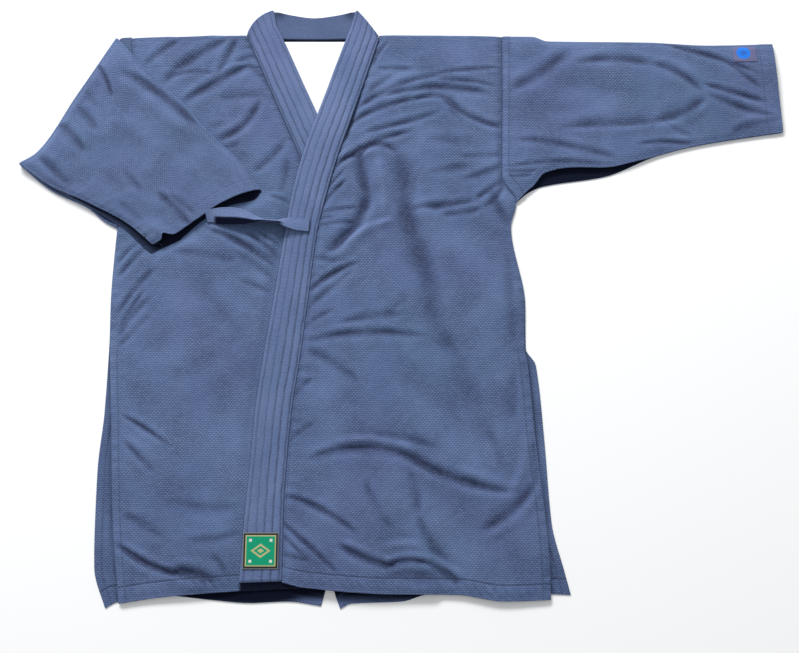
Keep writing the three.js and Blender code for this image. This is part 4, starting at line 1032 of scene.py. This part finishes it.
def right_sleeve(cloth):
    """One flattened tube from the armhole to the fold, round it, and back over the chest to the cuff."""
    half = (ON_BACK - ON_FLOOR) / 2
    root_z = (ON_BACK + ON_FLOOR) / 2
    w = near_and_far(TURNED_WIDTH)
    arm_y = mix(RIGHT_SHOULDER_Y, float(ROOT_UNDER[0][1]), w)
    armhole = np.stack([read(RIGHT_SIDE, arm_y, FRONT) - 0.3, arm_y], axis=-1)
    fold = along(TURN_FOLD, w)
    tangent = unit(np.gradient(fold, axis=0))
    inward = np.stack([-tangent[:, 1], tangent[:, 0]], axis=-1)
    radius = (TURNED_Z + FOLD_RISE - root_z) / 2
    reach = radius + half + CLOTH / 2
    inset = fold + inward * reach
    root_u = near_and_far(ROOT_RUN, 5.0)[:-1]
    uu, ww = np.meshgrid(root_u, w, indexing="ij")
    root = patch(armhole, inset, [armhole[0], ROOT_TOP, inset[0]], [*ROOT_UNDER[:-1], inset[-1]], uu, ww)
    root = lifted(root, np.full(root.shape[:2], root_z))
    turn = np.linspace(-math.pi / 2, math.pi / 2, 14)
    rim = fold[None] + inward[None] * (reach - radius * np.cos(turn))[:, None, None]
    rim_z = np.repeat((root_z + radius + radius * np.sin(turn))[:, None], len(w), axis=1)
    rim = lifted(rim, rim_z)
    turned_u = near_and_far(TURNED_RUN)[1:]
    uu, ww = np.meshgrid(turned_u, w, indexing="ij")
    flat = patch(inset, TURNED_CUFF, [inset[0], *TURNED_TOP[1:]], [inset[-1], *TURNED_UNDER[1:]], uu, ww)
    from_fold = uu * TURNED_RUN
    z = TURNED_Z + FOLD_RISE * bell(from_fold, 34)
    sheet = np.concatenate([root, rim, lifted(flat, z)], axis=0)
    down, across = np.gradient(sheet, axis=0), np.gradient(sheet, axis=1)
    normal = unit(np.cross(down, across))
    normal *= np.sign(normal[-1, len(w) // 2, 2])
    forward = unit(down)

    first = len(root_u) + len(turn)
    x, y = flat[..., 0], flat[..., 1]
    from_top, from_under = ww * SLEEVE_DEPTH, (1 - ww) * SLEEVE_DEPTH
    from_cuff = (1 - uu) * TURNED_RUN
    side_lip = np.zeros(len(sheet))
    side_lip[first:] = read(SIDE_LIP, turned_u, 1)
    parted = ease(side_lip / 3)
    edge = np.minimum(from_top, from_under)
    crease_lift, painted_crease_shade = creased(x, y, TURNED_CREASES, 70)
    lift = above(air_below(edge) + ease(edge / 5) * crease_lift + ease(edge / 40) * slack(x, y, 71), 0.05)
    mouth = ease((uu - 0.72) / 0.28)
    lift += mouth * (3.6 * bell(ww - 0.14, 0.12) + 6.5 * bell(ww - 0.87, 0.06))
    lift += 0.5 * ease((HEM_DEPTH - from_cuff + 1.5) / 3)
    lift += puckers(from_under, from_cuff - HEM_DEPTH, 74, 0.4, 8)
    lift += puckers(from_fold, from_under, 75, 0.7, 14) * parted[first:, None]
    lift = lift * ease(edge / 8) + 2.0 * parted[first:, None] * ease(1 - from_under / 45)
    puff, folds, cuff_lip, hollow = (np.zeros(sheet.shape[:2]) for _ in range(4))
    hollow[first:] = 9 * bell(ww - 0.86, 0.035) * ease((uu - 0.88) / 0.12)
    puff[first:] = lift * ease((from_fold + 4) / 16)
    # Painted fold shading from the creases: shade in troughs, light on shoulders
    folds[first:] = painted_crease_shade * ease(edge / 4)
    cuff_lip[first:] = read(CUFF_LIP, ww, 1) * ease((uu - 0.7) / 0.3)
    upper = sheet + normal * (half + puff)[..., None] - forward * hollow[..., None]
    lower = sheet - normal * half + forward * cuff_lip[..., None]

    def side(line, neighbour, profile):
        """The edge between the layers: ways out, heights and shares of the cuff's lip, a column a point."""
        way = unit(sheet[:, line] - sheet[:, neighbour])
        points = [
            sheet[:, line] + way * out[:, None] + normal[:, line] * height[:, None]
            + forward[:, line] * (cuff_lip[:, line] * lip)[:, None]
            for out, height, lip in profile
        ]
        return np.stack(points, axis=1)

    def round_edge(line, angles):
        top = half + puff[:, line]
        return [(half * math.sin(a) + 0 * top, np.where(math.cos(a) > 0, top, half) * math.cos(a),
                 (1 - math.cos(a)) / 2) for a in angles]

    arc = np.linspace(0, math.pi, 10)[1:-1]
    closed = round_edge(-1, arc[::-1])
    top = half + puff[:, -1]
    lip, pocket = side_lip, np.minimum(side_lip * 1.3, 9.0)
    welt = CLOTH + 0.1 - half
    opened = [
        (lip, 0 * lip - half, 1), (lip + 0.8, 0 * lip + (welt - half) / 2, 1), (lip, 0 * lip + welt, 1),
        (lip * 0.3, 0 * lip + welt + 0.05, 1), (-pocket, 0 * lip + welt + 0.1, 0.8),
        (-pocket - 0.8, (welt + top) / 2, 0.5), (-pocket, top - 0.2, 0.2), (-pocket * 0.4, top - 0.1, 0),
    ]
    blended = [
        tuple(mix(np.asarray(a), np.asarray(b), parted) for a, b in zip(*pair))
        for pair in zip(closed, opened)
    ]
    ring = np.concatenate([
        upper[:, ::-1], side(0, 1, round_edge(0, arc)), lower, side(-1, -2, blended),
    ], axis=1)
    spare = np.zeros((len(sheet), len(arc)))
    shade = np.zeros(sheet.shape[:2])
    # Painted shade on the root's strip below the turned part, with a painted lit line through it, and painted
    # shade in the parted lips
    painted_shade_under_turned = ease((w - 0.87) / 0.05) * (1 - ease((w - 0.992) / 0.006))
    lit_layer = 1 - 0.6 * bell(w - 0.9827, 0.006)
    shade[:len(root_u)] = 0.88 * painted_shade_under_turned * lit_layer * ease(root_u / 0.08)[:, None]
    side_shade = parted[:, None] * np.array([0, 0.2, 0.75, 0.95, 1, 1, 1, 0.9])
    shade = np.concatenate([shade * 0, spare, shade, side_shade], axis=1)
    run = np.concatenate([
        root_u * ROOT_RUN, ROOT_RUN + (turn + math.pi / 2) * radius, TURNED_START + turned_u * TURNED_RUN,
    ])
    around = np.concatenate([
        w[::-1] * SLEEVE_DEPTH, -arc * 2, -8 - w * SLEEVE_DEPTH, -15 - SLEEVE_DEPTH - arc * 2,
    ])
    from_turning = np.maximum(run[-1] - run - HEM_DEPTH + SEAM_STITCH, 0)
    marks = cloth_marks(
        shade, fold=np.concatenate([folds[:, ::-1], spare, folds * 0, spare], axis=1), shade=shade,
        from_seam=from_turning[:, None])
    piece = cloth_piece(
        "sleeve_right_cloth", ring, CLOTH, cloth, facing=-1, ring=True, marks=marks,
        weave=np.stack(np.meshgrid(run, around, indexing="ij"), axis=-1), inside=INNER_FACE_SHADE)
    dress(
        piece, ["sleeve_right_root", "sleeve_right_turned"])


def collar(band_cloth):
    """One strip from the left hem round the neck to the right hem, its rows of stitches along it."""
    w = near_and_far(BAND_WIDTH, 1.7, FINE_EDGE)

    def down_side(table):
        points = np.array(table, float)
        return along(points, np.linspace(0, 1, round(run_of(points[:, :2])[1] / 4)))

    def strip(rows, z):
        flat = mix(rows[:, None, 0:2], rows[:, None, 2:4], w[None, :, None])
        return lifted(flat, np.broadcast_to(np.asarray(z, float).reshape(-1, 1), flat.shape[:2]))

    def shoulder_fold(fold, way):
        seam_end, free_end, bulge = fold
        run = unit(np.subtract(free_end, seam_end))
        inward = np.array([-way * run[1], way * run[0]])
        edge = mix(np.array(seam_end, float)[None], np.array(free_end, float)[None], w[:, None])
        edge = edge - inward[None] * (bulge * 4 * w * (1 - w))[:, None]
        low, high = np.full_like(w, BAND / 2), np.full_like(w, LEFT_BAND[0][MIDDLE])
        return np.swapaxes(half_turn(edge, np.tile(inward, (len(w), 1)), low, high, BAND), 0, 1)

    left, right = down_side(LEFT_BAND), down_side(RIGHT_BAND)
    neck = along(NECK_BAND, np.linspace(0, 1, 46))
    folds = [shoulder_fold(LEFT_NECK_FOLD, 1)[::-1], shoulder_fold(RIGHT_NECK_FOLD, -1)]
    stretches = [
        strip(left[::-1], left[::-1, MIDDLE]), folds[0], strip(neck, BAND / 2), folds[1],
        strip(right, right[:, MIDDLE]),
    ]
    middle = np.concatenate(stretches)
    counts = [len(stretch) for stretch in stretches]
    behind = np.repeat([0.0, 0.5, 1.0, 0.5, 0.0], counts)[:, None]
    steps = np.linalg.norm(np.diff(middle[:, len(w) // 2], axis=0), axis=1)
    run = np.concatenate([[0], np.cumsum(steps)])
    across = w * BAND_WIDTH
    quilting = np.full_like(w, 0.3)
    for offset, strength in BAND_ROWS:
        quilting -= 0.55 * strength * bell(across - offset, 2.2)
    quilting -= 0.5 * ease(1 - np.minimum(across, BAND_WIDTH - across) / 2.4)
    rng = np.random.default_rng(5)
    waves = sum(np.sin(run / rng.uniform(4, 11) + rng.uniform(0, 6)) for _ in range(4)) / 4
    slow = sum(np.sin(run / rng.uniform(16, 50) + rng.uniform(0, 6)) for _ in range(3)) / 3
    relief = quilting[None, :] + 0.34 * waves[:, None] * np.cos(across / 5)[None, :]
    relief = (relief + 0.3 * slow[:, None] * np.sin(across / 9)[None, :]) * (1 - behind)
    around = np.repeat(across[None, :], len(run), axis=0)
    # Painted shade along the band's seam edge, over the part behind the neck and near its peaks; the fold
    # mark adds more painted shade behind the neck
    corners = [np.hypot(middle[..., 0] - x, middle[..., 1] - y) for x, y in (LEFT_PEAK, RIGHT_PEAK)]
    painted_peak_shade = bell(corners[0], 11) + bell(corners[1], 11)
    shade = 0.55 * bell(around, 0.9) * (1 - behind) + behind * 0.55 * painted_peak_shade
    shade = np.clip(shade + behind * (0.12 + 0.6 * ease(1 - around / 3)), 0, 0.9)
    marks = {
        "across": (around + FAR * (behind == 1)) * MM,
        "fold": -0.3 * behind + around * 0,
        "shade": shade,
    }
    weave = np.stack([around, np.repeat(run[:, None], len(w), axis=1)], axis=-1)
    piece = cloth_piece(
        "collar_band_cloth", middle, BAND - 0.5, band_cloth, facing=-1, marks=marks, weave=weave,
        relief=relief)
    dress(piece, ["collar_band"])


def chest_tie(band_cloth):
    """A tape sewn flat on the band that turns on its edge, spreads again and ends in front of the cuff."""
    points = np.array(TIE, float)
    rows = along(points, np.linspace(0, 1, 110))
    run = unit(np.gradient(rows[:, :3], axis=0))
    flat = unit(np.stack([-run[:, 1], run[:, 0], np.zeros(len(run))], axis=-1))
    lean = np.radians(rows[:, 4])
    across = flat * np.cos(lean)[:, None] + np.array([0, 0, 1.0]) * np.sin(lean)[:, None]
    w = near_and_far(TIE_WIDTH, 1.6, (0.5, 1.1))
    middle = rows[:, None, :3] + across[:, None] * ((w - 0.5)[None, :] * rows[:, 3][:, None])[..., None]
    around = np.repeat((w * TIE_WIDTH)[None, :], len(rows), axis=0)
    length = np.linspace(0, run_of(points[:, :3])[1], len(rows))
    middle[..., 2] += 0.25 * np.sin(length / 5.3)[:, None] * np.sin(w * 3.1)[None, :]
    weave = np.stack([around, np.repeat(length[:, None], len(w), axis=1)], axis=-1)
    relief = -0.3 * (bell(around - 2.4, 1.0) + bell(TIE_WIDTH - around - 2.4, 1.0))
    # Painted shadow on the lower half of the tape where it stands up off the chest
    painted_shadow_on_tape = ease((w - 0.5) / 0.1)[None, :] * ease((-176 - rows[:, 0]) / 10)[:, None]
    painted_shadow_on_tape = painted_shadow_on_tape * ease((rows[:, 0] + 288) / 8)[:, None]
    marks = {"across": (around + FAR) * MM, "fold": np.full_like(around, 0.25), "shade": painted_shadow_on_tape}
    piece = cloth_piece(
        "chest_tie_cloth", middle, TAPE, band_cloth, facing=-1, marks=marks, weave=weave, relief=relief,
        inside=0.75)
    dress(piece, ["chest_tie"])


def neck_lining(lining_cloth):
    top, bottom = LINING[0][0], LINING[-1][0]
    y = mix(top, bottom, near_and_far(134))
    w = near_and_far(140)
    x = mix(read(LINING, y, 1)[:, None], read(LINING, y, 2)[:, None], w[None, :])
    y = np.repeat(y[:, None], len(w), axis=1)
    z = np.maximum(LINING_Z + undulation(x, y, 90, 60, 0.25) * ease((top - y) / 12), LINING_Z - 0.2)
    piece = cloth_piece("neck_lining_cloth", np.stack([x, y, z], axis=-1), TRIM, lining_cloth, facing=-1)
    dress(piece, ["neck_lining"])


def hem_label(label_cloth):
    offset = (near_and_far(LABEL_SIZE, 2.0, FINE_EDGE) - 0.5) * LABEL_SIZE
    dx, dy = np.meshgrid(offset, offset, indexing="xy")
    edge = LABEL_SIZE / 2 - np.maximum(np.abs(dx), np.abs(dy))
    z = LABEL_Z + 0.5 * ease(edge / 3) - 0.35 * bell(edge - 2.2, 0.9)
    z += 0.08 * np.sin(dx / 3.1) * ease(edge / 4)
    middle = np.stack([LABEL_CENTRE[0] + dx, LABEL_CENTRE[1] + dy, z], axis=-1)
    weave = np.stack([dx, dy], axis=-1)
    piece = cloth_piece("hem_label_cloth", middle, TRIM, label_cloth, facing=1, weave=weave)
    dress(piece, ["hem_label"])


def cuff_badge(badge_cloth):
    width, depth = BADGE_SIZE
    along_sleeve = near_and_far(width, 1.8, (0.5, 1.2))
    across = near_and_far(depth, 1.8, (0.5, 1.2))
    uu, ww = np.meshgrid(mix(0.85, 0.937, along_sleeve), mix(0.03, 0.2, across), indexing="ij")
    x, y, z, _ = left_sleeve_over(uu, ww)
    dx, dy = np.meshgrid((along_sleeve - 0.5) * width, (0.5 - across) * depth, indexing="ij")
    edge = np.minimum(width / 2 - np.abs(dx), depth / 2 - np.abs(dy))
    lift = CLOTH / 2 + 0.45 + 0.3 * ease(edge / 2) - 0.25 * bell(edge - 1.8, 0.7)
    middle = np.stack([x, y, z + lift], axis=-1)
    weave = np.stack([dx, dy], axis=-1)
    piece = cloth_piece("cuff_badge_cloth", middle, BADGE, badge_cloth, facing=-1, weave=weave)
    dress(piece, ["cuff_badge"])


def studio():
    """A pale floor, a white sky and one soft lamp high on the upper left."""
    bpy.ops.object.select_all(action="DESELECT")
    bpy.ops.mesh.primitive_plane_add(size=12.0, location=(0, 0, 0))
    floor = bpy.context.object
    floor.name = "floor"
    material = bpy.data.materials.new("pale floor")
    material.use_nodes = True
    shader = material.node_tree.nodes["Principled BSDF"].inputs
    white = {"Base Color": (0.97, 0.97, 0.97, 1), "Roughness": 0.9, "Specular IOR Level": 0.1}
    Nodes(material.node_tree).fill(shader, white)
    floor.data.materials.append(material)
    world = bpy.data.worlds.new("soft white sky")
    world.use_nodes = True
    sky = world.node_tree.nodes["Background"].inputs
    Nodes(world.node_tree).fill(sky, {"Color": (0.96, 0.98, 1.0, 1), "Strength": 0.53})
    bpy.context.scene.world = world
    lamp = bpy.data.lights.new("upper left window", "AREA")
    lamp.shape = "RECTANGLE"
    lamp.size, lamp.size_y = 2.4, 1.0
    lamp.energy = 215
    lamp_place = bpy.data.objects.new("upper left window", lamp)
    lamp_place.location = (-1.3, 3.4, 2.15)
    lamp_place.rotation_euler = (-lamp_place.location).to_track_quat("-Z", "Y").to_euler()
    bpy.context.scene.collection.objects.link(lamp_place)
    bpy.context.scene.view_settings.view_transform = "Standard"


def photograph_camera():
    """13 degrees off straight down, leaning towards the hem."""
    target = Vector((-0.005, -0.056, 0.008))
    tilt = math.radians(13)
    camera = bpy.data.cameras.new("camera")
    camera.sensor_width = 36
    camera.lens = 1085 * 36 / 799
    place = bpy.data.objects.new("camera", camera)
    place.location = target + 1.60 * Vector((0, -math.sin(tilt), math.cos(tilt)))
    place.rotation_euler = (tilt, 0, 0)
    bpy.context.scene.collection.objects.link(place)
    bpy.context.scene.camera = place


photograph_camera()
studio()

row_group, dye_and_shading_group = stitch_group(), dye_and_fold_shading_group()
cloth = indigo_cloth(rice_grain_group(), row_group, dye_and_shading_group)
band_cloth = indigo_band(row_group, dye_and_shading_group)

back_panel("back_left", LEFT_SIDE, LEFT_BACK_HEM, 1, cloth)
back_panel("back_right", RIGHT_SIDE, RIGHT_BACK_HEM, -1, cloth)
front_panel("front_right", RIGHT_SIDE, RIGHT_FRONT_HEM, RIGHT_BAND, -1, right_front, cloth)
front_panel("front_left", LEFT_SIDE, LEFT_FRONT_HEM, LEFT_BAND, 1, left_front, cloth)
yoke("yoke_left", LEFT_NECK_FOLD[0], LEFT_BAND, LEFT_SIDE, LEFT_SHOULDER_Y, 1, left_front, cloth)
yoke(
    "yoke_right", RIGHT_NECK_FOLD[0], RIGHT_BAND, RIGHT_SIDE, RIGHT_SHOULDER_Y, -1, right_front, cloth)
left_sleeve(cloth)
right_sleeve(cloth)
collar(band_cloth)
chest_tie(band_cloth)
neck_lining(white_lining())
hem_label(woven_label())
cuff_badge(woven_badge())
